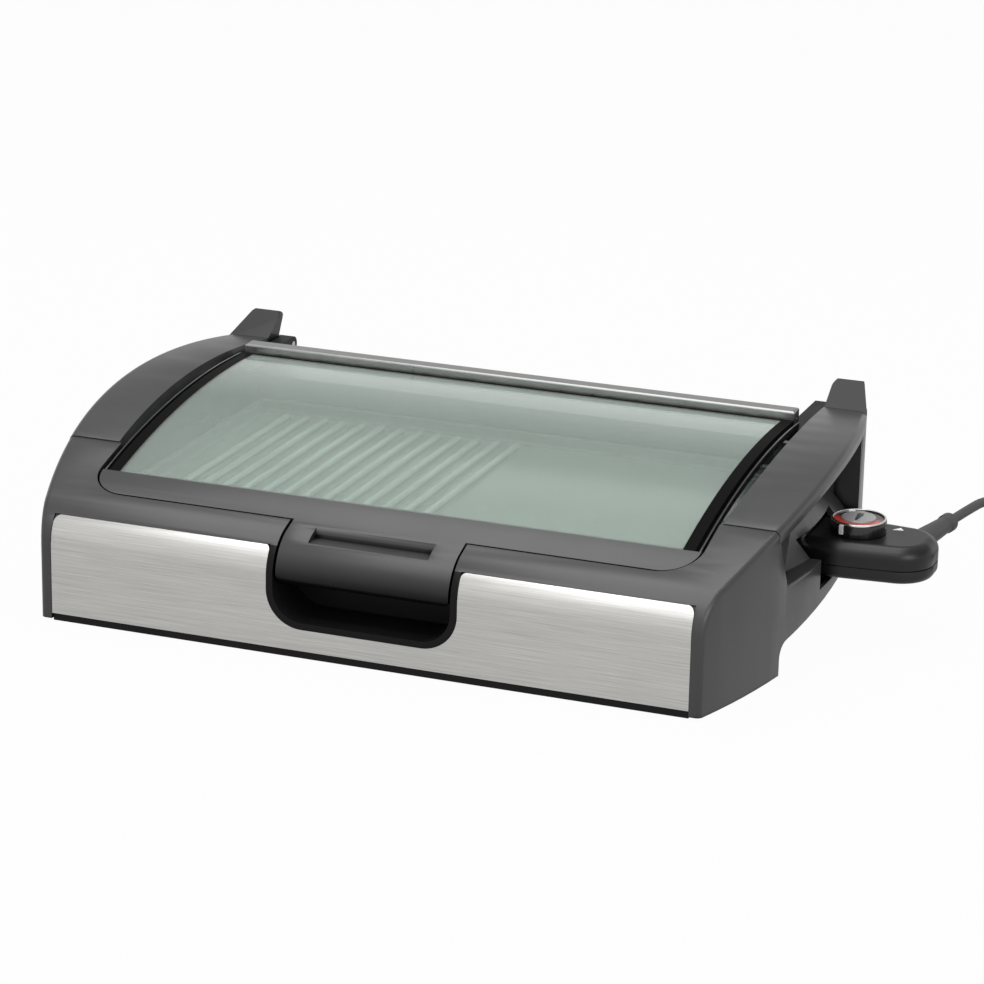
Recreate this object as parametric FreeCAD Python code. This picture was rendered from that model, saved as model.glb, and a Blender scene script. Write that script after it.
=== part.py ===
import FreeCAD
import Part
import math
import os

# Table grill with a hinged glass lid and a plug-in thermostat control.
# Millimetres. While building, X runs right from the middle, Y back from the front face and
# Z up from just above the table. Saving moves the origin to the middle of the footprint on the table.
V = FreeCAD.Vector

# Casing: side outline, plan and walls
CASING_DEPTH = 394.0
SIDE_MID_SET = 187.2
SIDE_R = 631.0
TOP_APEX_SET = 126.0
TOP_APEX_Z = 132.4
SHOULDER_R = 33.0
SHOULDER_Z = 57.957124
REAR_CORNER_R = 20.0
EDGE_R = 5.0
WALL = 3.0
CASING_BOTTOM = -0.5
TABLE_Z = -2.5
LEG_BACK_Y = 104.0
STEP_Z = 23.0
STEP_R = 12.0
SKIRT_MID_Y = 240.0
SKIRT_MID_Z = 38.0
FLANGE_T = 2.5
FLANGE_LOW_Z = 72.0
REAR_DECK_LENGTH = 64.0
REAR_DECK_DROP = 13.0
FIT_GAP = 0.3

# Rails, carry-grip recesses and hinge ears
RAIL_SEAM_Y = 97.0
RAIL_SEAM_Z = 107.0
SEAM_GAP = 0.6
RAIL_PROUD = 0.6
RAIL_SPAN = 56.8
RAIL_FRONT_GAP = 4.5
RAIL_MID_GAP = 8.5
RAIL_REAR_GAP = 2.0
RAIL_CAP_T = 5.0
RAIL_LIP_T = 6.0
RAIL_LIP_H = 9.0
RAIL_SKIRT_H = 20.0
GRIP_SEAM_Y = 114.0
GRIP_LEDGE_Z = 64.0
GRIP_REAR_SET = 89.0
GRIP_DEPTH = 27.3
GRIP_DEEP_AHEAD = 32.0
GRIP_CREST_Z = 91.0
GRIP_HOOD_R = 250.0
GRIP_HOOD_SLOPE = 1.15
GRIP_SHEET = 2.5
EAR_LENGTH = 31.0
EAR_TIP_SET = 3.0
EAR_TIP_RISE = 26.3
EAR_OVERHANG = 2.0
EAR_TIP_T = 2.0
EAR_ROOT_SET = 9.0
EAR_ROOT_RISE = 4.0
EAR_TIP_INSET = 30.3
EAR_LEAN = 0.36
EAR_TIP_R = 5.0

# Steel panel and finger well
PANEL_SIDE_SET = 8.449948
PANEL_BOTTOM = 4.3
PANEL_TOP_Z = 80.0
PANEL_T = 0.9
PANEL_SET = 0.4
PANEL_CORNER_R = 6.0
NOTCH_CORNER_R = 4.0
WELL_HALF = 69.5
WELL_BOTTOM = 26.0
WELL_R = 23.0
WELL_RIM = 5.0
WELL_SLEEVE_Y = 14.0
WELL_BACK_Y = 44.0
WELL_TOP_Z = 78.0

# Base tub, feet and screws
PAN_T = 2.5
PAN_FLOOR_Z = 8.0
PAN_HALF = 230.5
PAN_FRONT_Y = 50.0
PAN_REAR_GAP = 1.5
PAN_TOP_Z = 72.0
WING_Z = 38.4
SKIRT_Y = 2.0
SKIRT_LOW_Z = -1.8
FOOT_R = 11.0
FOOT_H = 6.5
FOOT_INSET = 1.5
FOOT_BOSS_R = 13.5
FRONT_FOOT_SIDE_SET = 15.5
FRONT_FOOT_Y = 45.0
REAR_FOOT_SIDE_SET = 35.5
REAR_FOOT_SET = 23.5
BOSS_R = 4.5
BOSS_H = 16.0
BOSS_FRONT_Y = 60.0
BOSS_MID_Y = 150.0
BOSS_REAR_SET = 49.0
SCREW_R = 1.6
SCREW_HEAD_R = 3.2
SCREW_HEAD_H = 2.0
SCREW_LENGTH = 14.0

# Cooking parts
SHEET_T = 0.8
REFLECTOR_INSET = 14.0
REFLECTOR_FLOOR_Z = 44.0
PLATE_INSET = 7.5
PLATE_T = 6.0
PLATE_RIM_H = 9.0
PLATE_RIM_T = 6.0
RIB_PITCH = 16.5
RIB_COUNT = 13
RIB_W = 6.0
RIB_H = 4.0
RIB_SIDE_SET = 31.0
RIB_END_GAP = 12.0
DRAIN_R = 7.0
DRAIN_SIDE_SET = 120.5
DRAIN_Y = 84.0
SPOUT_R = 11.0
TRAY_HALF_X = 70.0
TRAY_HALF_Y = 40.0
TRAY_H = 20.0
TRAY_BACK_SET = 10.0
TRAY_WALL = 1.2
ELEMENT_R = 3.5
ELEMENT_Z = 65.0
ELEMENT_BEND_R = 22.0
ELEMENT_SIDE_SET = 36.0
ELEMENT_FRONT_SET = 41.0
ELEMENT_REAR_SET = 30.0
CLIP_W = 8.0
CLIP_WALL = 2.0
CLIP_X = 100.0

# Inlet and thermostat control
INLET_BEHIND = 12.5
PIN_SPREAD = 24.0
PIN_R = 2.5
PIN_CLEARANCE = 0.3
SHROUD_SET = 4.5
SHROUD_LENGTH = 38.0
ELEMENT_END_SET = 12.0
PIN_LENGTH = 24.0
SHROUD_HALF = 29.0
SHROUD_LOW_Z = 53.0
SHROUD_WALL = 2.0
SENSOR_TUBE_R = 4.4
SENSOR_TUBE_LENGTH = 36.0
SENSOR_TIP_SET = 10.0
SENSOR_R = 3.0
OPENING_HALF = 44.0
OPENING_LOW_Z = 43.0
OPENING_HIGH_Z = 79.5
CONTROL_GAP = 4.0
CONTROL_WAIST_SET = 30.0
CONTROL_LENGTH = 100.0
CONTROL_IN_HALF = 29.0
CONTROL_WIDE_HALF = 36.0
CONTROL_OUT_HALF = 29.0
CONTROL_IN_R = 11.0
CONTROL_END_R = 27.0
CONTROL_WAIST_R = 40.0
CONTROL_LOW_Z = 50.0
CONTROL_SPLIT_Z = 60.0
CONTROL_TOP_Z = 77.5
CONTROL_WALL = 2.5
CONTROL_EDGE_R = 5.0
CONTROL_DOME_R = 9.5
CONTROL_GROOVE = 1.0
CONTROL_POST_SET = 18.0
CONTROL_POST_ASIDE = 28.0
CONTROL_POST_BACK = 12.0
BLOCK_SET = 5.0
BLOCK_LENGTH = 31.0
BLOCK_GAP = 0.8
SLEEVE_WALL = 0.7
SWITCH_LENGTH = 46.0
SWITCH_HALF = 15.0
SWITCH_H = 13.0

# Knob
KNOB_SET = 40.0
KNOB_R = 21.0
KNOB_H = 10.5
KNOB_GAP = 0.5
KNOB_WALL = 2.5
SHAFT_R = 3.0
SHAFT_CLEARANCE = 0.05
HUB_R = 6.0
BEZEL_W = 1.4
BEZEL_H = 1.6
DIAL_R = 19.0
DIAL_IN_R = 13.0
DIAL_T = 1.2
CAP_T = 2.0
MARKER_W = 3.6
MARKER_DEG = -112.0
MARK_AHEAD = 27.0
MARK_ASIDE = 15.0
MARK_SIZE = 8.0
MARK_T = 0.4

# Lid
LID_DROP = 0.6
LID_GAP = 2.3
LID_SEAM_Y = 32.5
LID_OVER_PAN = 6.0
LID_CORNER_R = 28.0
LID_SKIN = 3.0
LID_LIP_T = 2.5
LID_LIP_H = 8.0
GLASS_FRONT_Y = 61.0
GLASS_REAR_SET = 26.0
GLASS_SIDE_SET = 5.0
GLASS_T = 4.0
GLASS_SEAT_GAP = 0.2
LEDGE_T = 2.0
LEDGE_W = 5.0
LID_BAR_LEDGE = 5.0
LID_BAR_GAP = 0.5
LID_BAR_T = 1.5
LID_BAR_DROP = 0.6
FLAP_GAP = 2.0
FLAP_LOW_Z = 52.0
FLAP_T = 4.5
FLAP_ROLL_R = 10.0
FLAP_JOIN_Z = 74.0
FLAP_CORNER_R = 8.0
THUMB_HALF = 47.0
THUMB_FRONT_Y = 11.5
THUMB_REAR_Y = 33.0
THUMB_DEPTH = 5.0
THUMB_FLOOR_T = 2.5
THUMB_ROLL_R = 6.0
REAR_RAIL_SIDE_SET = 5.0
REAR_RAIL_LENGTH = 14.0
REAR_RAIL_PROUD = 6.500563
REAR_RAIL_H = 14.0
REAR_RAIL_EDGE_R = 2.0
HINGE_SET = 8.0
HINGE_DROP = 4.289272
HINGE_PIN_R = 3.0
HINGE_CLEARANCE = 0.05
KNUCKLE_R = 7.0
ARM_W = 11.0
ARM_GAP = 2.5
ARM_DROP = 11.0
PIN_DEPTH = 16.0
LID_SCREW_LENGTH = 17.0

# Mains lead
CORD_R = 3.75
RELIEF_SET = 23.0
RELIEF_ASIDE = 24.0
RELIEF_RISE = 4.5
RELIEF_DEG = 80.0
RELIEF_LENGTH = 66.0
RELIEF_ROOT_R = 9.0
RELIEF_TIP_R = 6.0
COLLAR_R = 7.4
COLLAR_LENGTH = 10.0
COLLAR_EDGE_R = 2.0
COIL_MEAN_R = 44.5
COIL_GAP = 0.6
COIL_LAYERS = 2
COIL_HALF_TURNS = 4
COIL_TIE_GAP = 0.9
COIL_TAIL = 22.5
COIL_ASIDE = 106.0
COIL_BEHIND = 254.0
TIE_T = 1.0
TIE_W = 12.0
PLUG_R = 19.0
PLUG_H = 26.0
PLUG_EDGE_R = 3.0
PLUG_BOOT_LENGTH = 20.0
PLUG_BOOT_R = 6.5
PLUG_PIN_R = 2.4
PLUG_PIN_LENGTH = 19.0
PLUG_PIN_SPREAD = 19.0
FLOOR_GAP = 0.1

# Places worked out from the sizes above
LID_HALF = PAN_HALF + LID_OVER_PAN
SIDE_HALF = LID_HALF + RAIL_SPAN
RAIL_IN_FRONT = LID_HALF + RAIL_FRONT_GAP
RAIL_IN_MID = LID_HALF + RAIL_MID_GAP
RAIL_IN_REAR = LID_HALF + RAIL_REAR_GAP
GRIP_DEEP_X = SIDE_HALF - GRIP_DEPTH
EAR_TIP_OUT_X = SIDE_HALF - EAR_TIP_INSET
FRONT_FOOT_X = PAN_HALF - FRONT_FOOT_SIDE_SET
REAR_FOOT_X = PAN_HALF - REAR_FOOT_SIDE_SET
DRAIN_X = PAN_HALF - DRAIN_SIDE_SET
SIDE_MID_Y = CASING_DEPTH - SIDE_MID_SET
SIDE_CX = SIDE_HALF - SIDE_R
FRONT_HALF = SIDE_CX + math.sqrt(SIDE_R ** 2 - SIDE_MID_Y ** 2)
PANEL_WIDTH = 2 * (FRONT_HALF - PANEL_SIDE_SET)
TOP_APEX_Y = CASING_DEPTH - TOP_APEX_SET
TOP_RISE = TOP_APEX_Z - SHOULDER_Z
TOP_REACH = TOP_APEX_Y - SHOULDER_R
TOP_R = (TOP_REACH ** 2 + TOP_RISE ** 2 - SHOULDER_R ** 2) / (2 * (TOP_RISE - SHOULDER_R))
TOP_CZ = TOP_APEX_Z - TOP_R
REAR_TOP_Z = TOP_CZ + math.sqrt(TOP_R ** 2 - TOP_APEX_SET ** 2)
HINGE_Z = REAR_TOP_Z - HINGE_DROP
REAR_DECK_Z = HINGE_Z - REAR_DECK_DROP
EAR_TIP_Z = HINGE_Z + EAR_TIP_RISE
EAR_ROOT_Z = HINGE_Z + EAR_ROOT_RISE
REAR_DECK_Y = CASING_DEPTH - REAR_DECK_LENGTH
GRIP_REAR_Y = CASING_DEPTH - GRIP_REAR_SET
INLET_Y = (GRIP_SEAM_Y + GRIP_REAR_Y) / 2 + INLET_BEHIND
GRIP_DEEP_Y = INLET_Y - GRIP_DEEP_AHEAD
OPENING_FRONT_Y = INLET_Y - OPENING_HALF
OPENING_REAR_Y = INLET_Y + OPENING_HALF
EAR_Y = CASING_DEPTH - EAR_LENGTH
EAR_TIP_Y = CASING_DEPTH - EAR_TIP_SET
EAR_BACK_Y = CASING_DEPTH + EAR_OVERHANG
EAR_ROOT_Y = CASING_DEPTH - EAR_ROOT_SET
PAN_REAR_Y = REAR_DECK_Y - PAN_REAR_GAP
REAR_FOOT_Y = PAN_REAR_Y - REAR_FOOT_SET
BOSS_REAR_Y = CASING_DEPTH - BOSS_REAR_SET
REFLECTOR_HALF = PAN_HALF - REFLECTOR_INSET
REFLECTOR_FRONT_Y = PAN_FRONT_Y + REFLECTOR_INSET
REFLECTOR_REAR_Y = PAN_REAR_Y - REFLECTOR_INSET
PLATE_HALF = PAN_HALF - PLATE_INSET
PLATE_FRONT_Y = PAN_FRONT_Y + PLATE_INSET
PLATE_REAR_Y = PAN_REAR_Y - PLATE_INSET
ELEMENT_HALF = REFLECTOR_HALF - ELEMENT_SIDE_SET
ELEMENT_FRONT_Y = REFLECTOR_FRONT_Y + ELEMENT_FRONT_SET
ELEMENT_REAR_Y = REFLECTOR_REAR_Y - ELEMENT_REAR_SET
GLASS_REAR_Y = REAR_DECK_Y - GLASS_REAR_SET
GLASS_REAR_Z = TOP_CZ + math.sqrt(TOP_R ** 2 - (GLASS_REAR_Y - TOP_APEX_Y) ** 2)
REAR_RAIL_TOP_Z = GLASS_REAR_Z + REAR_RAIL_PROUD
REAR_RAIL_LOW_Z = REAR_RAIL_TOP_Z - REAR_RAIL_H
ARM_LOW_Z = REAR_RAIL_LOW_Z - ARM_DROP
REAR_RAIL_REAR_Y = GLASS_REAR_Y + REAR_RAIL_LENGTH
LID_SCREW_Y = (GLASS_REAR_Y + REAR_RAIL_REAR_Y) / 2
HINGE_Y = CASING_DEPTH - HINGE_SET
SHROUD_IN_X = PAN_HALF - SHROUD_SET
SHROUD_OUT_X = SHROUD_IN_X + SHROUD_LENGTH
ELEMENT_END_X = SHROUD_IN_X + ELEMENT_END_SET
PIN_TIP_X = ELEMENT_END_X + PIN_LENGTH
SENSOR_TUBE_X = SHROUD_IN_X - SENSOR_TUBE_LENGTH
SENSOR_TIP_X = SENSOR_TUBE_X + SENSOR_TIP_SET
BLOCK_IN_X = ELEMENT_END_X + BLOCK_SET
BLOCK_OUT_X = BLOCK_IN_X + BLOCK_LENGTH
CONTROL_IN_X = SHROUD_OUT_X + CONTROL_GAP
CONTROL_WIDE_X = CONTROL_IN_X + CONTROL_WAIST_SET
CONTROL_OUT_X = CONTROL_IN_X + CONTROL_LENGTH
COIL_X = CONTROL_OUT_X + COIL_ASIDE
COIL_START_Y = INLET_Y + COIL_BEHIND
KNOB_X = CONTROL_IN_X + KNOB_SET
MARK_X = KNOB_X + MARK_AHEAD
MARK_Y = INLET_Y + MARK_ASIDE
RELIEF_X = CONTROL_OUT_X - RELIEF_SET
RELIEF_Y = INLET_Y + RELIEF_ASIDE
RELIEF_Z = CONTROL_SPLIT_Z + RELIEF_RISE
FLAP_HALF = WELL_HALF - FLAP_GAP
GLASS_HALF = LID_HALF - GLASS_SIDE_SET
LID_BAR_OUT_X = LID_HALF - LID_BAR_GAP
LID_BAR_IN_X = GLASS_HALF - LID_BAR_LEDGE
REAR_RAIL_HALF = LID_HALF - REAR_RAIL_SIDE_SET
ARM_OUT_X = RAIL_IN_REAR - ARM_GAP
ARM_IN_X = ARM_OUT_X - ARM_W
BELOW = TABLE_Z - 5.0
HIGH = EAR_TIP_Z + 20.0
WIDE = SIDE_HALF + 40.0
PANEL_SEAT = PANEL_SET + PANEL_T
OPEN_HALF = LID_HALF + LID_GAP
LID_FRONT_Y = LID_SEAM_Y + LID_GAP
WELL_OUT_HALF = WELL_HALF + WELL_RIM
WELL_OUT_BOTTOM = WELL_BOTTOM - WELL_RIM
WELL_OUT_R = WELL_R + WELL_RIM
SHROUD_HIGH_Z = PAN_TOP_Z - FIT_GAP
FLOOR_TOP_Z = PAN_FLOOR_Z + PAN_T
WING_TOP_Z = WING_Z + PAN_T
PLATE_LOW_Z = PAN_TOP_Z + SHEET_T
PLATE_TOP_Z = PLATE_LOW_Z + PLATE_T
GLASS_LOW = LID_DROP + GLASS_T + GLASS_SEAT_GAP
KNOB_LOW_Z = CONTROL_TOP_Z + KNOB_GAP
KNOB_TOP_Z = KNOB_LOW_Z + KNOB_H
SLEEVE_R = PIN_R + PIN_CLEARANCE + SLEEVE_WALL
PIN_Y = [INLET_Y - PIN_SPREAD / 2, INLET_Y + PIN_SPREAD / 2]
MID_X = (CONTROL_OUT_X - SIDE_HALF) / 2
MID_Y = EAR_BACK_Y / 2


# Small shape helpers
def box(x0, x1, y0, y1, z0, z1):
    return Part.makeBox(x1 - x0, y1 - y0, z1 - z0, V(x0, y0, z0))


def rod(radius, start, end):
    way = end - start
    return Part.makeCylinder(radius, way.Length, start, way)


def mirrored(shape):
    return shape.mirror(V(0, 0, 0), V(1, 0, 0))


def joined(first, others):
    return first.fuse(others).removeSplitter()


def rounded_face(points, radii):
    """A flat face through the points, each corner rounded by its radius."""
    starts = []
    ends = []
    middles = []
    for index, corner in enumerate(points):
        back = (points[index - 1] - corner).normalize()
        ahead = (points[(index + 1) % len(points)] - corner).normalize()
        half = back.getAngle(ahead) / 2
        cut = radii[index] / math.tan(half)
        inward = (back + ahead).normalize()
        starts.append(corner + back * cut)
        ends.append(corner + ahead * cut)
        middles.append(corner + inward * (radii[index] / math.sin(half) - radii[index]))
    edges = []
    for index in range(len(points)):
        if (starts[index] - ends[index - 1]).Length > 1e-6:
            edges.append(Part.LineSegment(ends[index - 1], starts[index]).toShape())
        if radii[index] > 0:
            edges.append(Part.Arc(starts[index], middles[index], ends[index]).toShape())
    return Part.Face(Part.Wire(edges))


def side_prism(outline, x0, x1, radii=None):
    """Solid of a side outline, given as (y, z) corners, between two x planes."""
    points = [V(x0, y, z) for y, z in outline]
    return rounded_face(points, radii or [0.0] * len(points)).extrude(V(x1 - x0, 0, 0))


def front_prism(outline, y0, y1, radii=None):
    """Solid of a front outline, given as (x, z) corners, between two y planes."""
    points = [V(x, y0, z) for x, z in outline]
    return rounded_face(points, radii or [0.0] * len(points)).extrude(V(0, y1 - y0, 0))


def plan_solid(outline, z0, z1, radii=None):
    """Solid of a plan outline, given as (x, y) corners, between two heights."""
    points = [V(x, y, z0) for x, y in outline]
    return rounded_face(points, radii or [0.0] * len(points)).extrude(V(0, 0, z1 - z0))


# The casing's own curves
def top_z(y, drop=0.0):
    return TOP_CZ + math.sqrt((TOP_R - drop) ** 2 - (y - TOP_APEX_Y) ** 2)


def side_x(y, inset=0.0):
    return SIDE_CX + math.sqrt((SIDE_R - inset) ** 2 - (y - SIDE_MID_Y) ** 2)


def crown(y0, y1, drop0, drop1, x0, x1):
    """Curved slab that follows the top arc, between two drops below it."""
    middle = (y0 + y1) / 2
    upper = Part.Arc(V(x0, y0, top_z(y0, drop0)), V(x0, middle, top_z(middle, drop0)),
                     V(x0, y1, top_z(y1, drop0)))
    lower = Part.Arc(V(x0, y1, top_z(y1, drop1)), V(x0, middle, top_z(middle, drop1)),
                     V(x0, y0, top_z(y0, drop1)))
    rear = Part.LineSegment(upper.EndPoint, lower.StartPoint)
    front = Part.LineSegment(lower.EndPoint, upper.StartPoint)
    wire = Part.Wire([edge.toShape() for edge in (upper, rear, lower, front)])
    return Part.Face(wire).extrude(V(x1 - x0, 0, 0))


def profile_prism(inset, low, half):
    """Side outline of the casing, drawn in by an inset, across a half width each way."""
    rear_y = CASING_DEPTH - inset
    out = V(0, SHOULDER_R - TOP_APEX_Y, SHOULDER_Z - TOP_CZ).normalize()
    bend = (out + V(0, -1, 0)).normalize()
    centre = V(-half, SHOULDER_R, SHOULDER_Z)
    radius = SHOULDER_R - inset
    foot = V(-half, inset, low)
    rise = V(-half, inset, SHOULDER_Z)
    shoulder = centre + out * radius
    middle_y = (shoulder.y + rear_y) / 2
    rear = V(-half, rear_y, top_z(rear_y, inset))
    rear_foot = V(-half, rear_y, low)
    edges = [
        Part.LineSegment(foot, rise),
        Part.Arc(rise, centre + bend * radius, shoulder),
        Part.Arc(shoulder, V(-half, middle_y, top_z(middle_y, inset)), rear),
        Part.LineSegment(rear, rear_foot),
        Part.LineSegment(rear_foot, foot),
    ]
    wire = Part.Wire([edge.toShape() for edge in edges])
    return Part.Face(wire).extrude(V(2 * half, 0, 0))


def plan_prism(inset, low, high):
    """Plan of the casing with its bulging sides and round rear corners."""
    front_y = inset
    rear_y = CASING_DEPTH - inset
    front = side_x(front_y, inset)
    rear = side_x(rear_y, inset)
    widest = SIDE_HALF - inset
    edges = [
        Part.LineSegment(V(-front, front_y, low), V(front, front_y, low)),
        Part.Arc(V(front, front_y, low), V(widest, SIDE_MID_Y, low), V(rear, rear_y, low)),
        Part.LineSegment(V(rear, rear_y, low), V(-rear, rear_y, low)),
        Part.Arc(V(-rear, rear_y, low), V(-widest, SIDE_MID_Y, low), V(-front, front_y, low)),
    ]
    wire = Part.Wire([edge.toShape() for edge in edges])
    solid = Part.Face(wire).extrude(V(0, 0, high - low))
    corners = [edge for edge in solid.Edges
               if abs(edge.BoundBox.ZLength - (high - low)) < 1e-6 and edge.CenterOfMass.y > SIDE_MID_Y]
    return solid.makeFillet(REAR_CORNER_R - inset, corners)


def casing_form():
    """Outer form of the grill, its long edges rounded as far back as the hinge ears."""
    form = profile_prism(0, CASING_BOTTOM, WIDE).common(plan_prism(0, CASING_BOTTOM, HIGH))
    split_y = EAR_Y + RAIL_CAP_T
    front = form.common(box(-WIDE, WIDE, -1, split_y, 0, HIGH))
    rear = form.common(box(-WIDE, WIDE, split_y, CASING_DEPTH + 1, 0, HIGH))
    edges = []
    for edge in front.Edges:
        point = edge.valueAt((edge.FirstParameter + edge.LastParameter) / 2)
        on_side = abs(abs(point.x) - side_x(point.y)) < 0.01
        if on_side and point.z > CASING_BOTTOM + 1 and point.y < split_y - 1:
            edges.append(edge)
    return joined(front.makeFillet(EDGE_R, edges), [rear])


def well_prism(half, bottom, radius, y0, y1, top):
    """Round-bottomed opening of the finger well."""
    outline = [(-half, top), (-half, bottom), (half, bottom), (half, top)]
    return front_prism(outline, y0, y1, [0.0, radius, radius, 0.0])


def screw(head, way, length):
    """Pan-head screw: the point given is under the head, the way runs along the shank."""
    shank = rod(SCREW_R, head, head + way * length)
    cap = rod(SCREW_HEAD_R, head - way * SCREW_HEAD_H, head)
    return joined(cap, [shank])


def boss_places():
    places = []
    for y, low in [(BOSS_FRONT_Y, FLOOR_TOP_Z), (BOSS_MID_Y, WING_TOP_Z), (BOSS_REAR_Y, WING_TOP_Z)]:
        x = side_x(y) - WALL - BOSS_R * 0.6
        places.append(V(x, y, low))
        places.append(V(-x, y, low))
    return places


# Base pieces
def grip_recess(sheet):
    """Space of the right carry grip over the inlet's hood, grown by a sheet thickness into the casing."""
    deep = GRIP_DEEP_X - sheet
    floor = GRIP_LEDGE_Z + GRIP_SHEET - sheet
    plan = [(side_x(RAIL_SEAM_Y) - sheet, RAIL_SEAM_Y), (deep, GRIP_DEEP_Y), (deep, GRIP_REAR_Y + sheet),
            (WIDE, GRIP_REAR_Y + sheet), (WIDE, RAIL_SEAM_Y)]
    space = plan_solid(plan, floor, HIGH)
    centre = V(deep - sheet, INLET_Y, GRIP_CREST_Z - GRIP_HOOD_R)
    arch = Part.Wire([Part.Circle(centre, V(1, 0, 0), GRIP_HOOD_R - sheet / 2).toShape()])
    hood = Part.Face(arch).extrude(V(1, 0, -GRIP_HOOD_SLOPE) * (WIDE - deep))
    return space.cut(hood)


def control_opening():
    return box(GRIP_DEEP_X - 20, WIDE, OPENING_FRONT_Y, OPENING_REAR_Y, OPENING_LOW_Z, OPENING_HIGH_Z)


def grip_side(gap):
    """Side outline of the rail's recess panel, larger by a gap."""
    rear = GRIP_REAR_Y + GRIP_SHEET + gap
    return [(RAIL_SEAM_Y - gap, HIGH), (RAIL_SEAM_Y - gap, RAIL_SEAM_Z), (GRIP_SEAM_Y - gap, GRIP_LEDGE_Z),
            (rear, GRIP_LEDGE_Z), (rear, HIGH)]


def outer_casing(form):
    hollow = profile_prism(WALL, -HIGH, WIDE).common(plan_prism(WALL, -HIGH, HIGH))
    casing = form.cut(hollow)
    # Front flange round the lid opening, rear deck with its own flange
    opening = plan_solid([(-OPEN_HALF, LID_SEAM_Y), (OPEN_HALF, LID_SEAM_Y), (OPEN_HALF, CASING_DEPTH * 2),
                          (-OPEN_HALF, CASING_DEPTH * 2)], 0, HIGH, [LID_CORNER_R + LID_GAP] * 2 + [0.0] * 2)
    ring_half = OPEN_HALF + FLANGE_T
    ring = plan_solid([(-ring_half, LID_SEAM_Y - FLANGE_T), (ring_half, LID_SEAM_Y - FLANGE_T),
                       (ring_half, RAIL_SEAM_Y - SEAM_GAP), (-ring_half, RAIL_SEAM_Y - SEAM_GAP)],
                      FLANGE_LOW_Z, HIGH, [LID_CORNER_R + LID_GAP + FLANGE_T] * 2 + [0.0] * 2)
    deck = plan_prism(WALL / 2, REAR_DECK_Z - WALL, REAR_DECK_Z)
    deck = deck.common(box(-WIDE, WIDE, REAR_DECK_Y, CASING_DEPTH, 0, HIGH))
    deck_flange = box(-PAN_HALF, PAN_HALF, REAR_DECK_Y, REAR_DECK_Y + FLANGE_T, FLANGE_LOW_Z, REAR_DECK_Z)
    sleeve = well_prism(WELL_OUT_HALF, WELL_OUT_BOTTOM, WELL_OUT_R, PANEL_SET, WELL_SLEEVE_Y, HIGH)
    bosses = [rod(BOSS_R, place, place + V(0, 0, BOSS_H)) for place in boss_places()]
    casing = joined(casing, [ring.common(form), deck, deck_flange, sleeve.common(form)] + bosses)
    # Space for the lid, the rails and the hinge ears
    lid_space = opening.common(box(-WIDE, WIDE, 0, REAR_DECK_Y, 0, HIGH))
    rail_space = crown(RAIL_SEAM_Y - SEAM_GAP, CASING_DEPTH + 1, -40, RAIL_LIP_H, -WIDE, WIDE)
    ear_space = box(-WIDE, WIDE, EAR_Y, CASING_DEPTH + 1, REAR_DECK_Z, HIGH)
    grip_space = side_prism(grip_side(SEAM_GAP / 2), PAN_HALF + 15, WIDE)
    # Seat of the steel panel and the black skirt below it
    seat = profile_prism(-1, BELOW, PANEL_WIDTH / 2 + FIT_GAP).cut(profile_prism(PANEL_SEAT, BELOW, WIDE))
    seat = seat.common(box(-WIDE, WIDE, -5, SHOULDER_R, BELOW, PANEL_TOP_Z + FIT_GAP))
    seat = seat.cut(well_prism(WELL_OUT_HALF, WELL_OUT_BOTTOM, WELL_OUT_R, -5, SHOULDER_R, HIGH))
    skirt_space = box(-PANEL_WIDTH / 2, PANEL_WIDTH / 2, -1, WALL + 1, BELOW, PANEL_BOTTOM + 2 * FIT_GAP)
    well = well_prism(WELL_HALF, WELL_BOTTOM, WELL_R, -5, LID_FRONT_Y, HIGH)
    pocket = well_prism(WELL_OUT_HALF + FIT_GAP, WELL_OUT_BOTTOM - FIT_GAP, WELL_OUT_R, WELL_SLEEVE_Y,
                        LID_FRONT_Y, WELL_TOP_Z + FIT_GAP)
    under = side_prism([(LEG_BACK_Y, BELOW), (LEG_BACK_Y, STEP_Z), (SKIRT_MID_Y, SKIRT_MID_Z),
                        (CASING_DEPTH + 1, SKIRT_MID_Z), (CASING_DEPTH + 1, BELOW)], -WIDE, WIDE,
                       [0.0, STEP_R, 0.0, 0.0, 0.0])
    pilots = [screw(place - V(0, 0, PAN_T), V(0, 0, 1), SCREW_LENGTH) for place in boss_places()]
    cuts = [lid_space, rail_space, ear_space, grip_space, mirrored(grip_space), seat, skirt_space, well,
            pocket, under, control_opening()] + pilots
    return casing.cut(cuts)


def hinge_ear():
    """Right hinge ear: a fin that leans back, with an undercut rear and a tapered outer edge."""
    fin = side_prism([(EAR_Y, top_z(EAR_Y, 1)), (EAR_TIP_Y, EAR_TIP_Z), (EAR_BACK_Y, EAR_TIP_Z - EAR_TIP_T),
                      (EAR_ROOT_Y, EAR_ROOT_Z)], RAIL_IN_REAR, SIDE_HALF, [0.0, EAR_TIP_T, EAR_TIP_T, 0.0])
    base_x = side_x(EAR_Y)
    tip_x = EAR_TIP_OUT_X - EAR_LEAN * (EAR_BACK_Y - EAR_TIP_Y)
    plan = plan_solid([(RAIL_IN_REAR, EAR_Y), (base_x, EAR_Y), (EAR_TIP_OUT_X, EAR_TIP_Y),
                       (tip_x, EAR_BACK_Y + 1), (RAIL_IN_REAR, EAR_BACK_Y + 1)], 0, HIGH)
    front = front_prism([(RAIL_IN_REAR, 0), (RAIL_IN_REAR, EAR_TIP_Z), (EAR_TIP_OUT_X, EAR_TIP_Z),
                         (base_x, top_z(EAR_Y)), (base_x, 0)], 0, EAR_BACK_Y + 1,
                        [0.0, EAR_TIP_R, EAR_TIP_R, 0.0, 0.0])
    return fin.common(plan).common(front)


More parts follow.
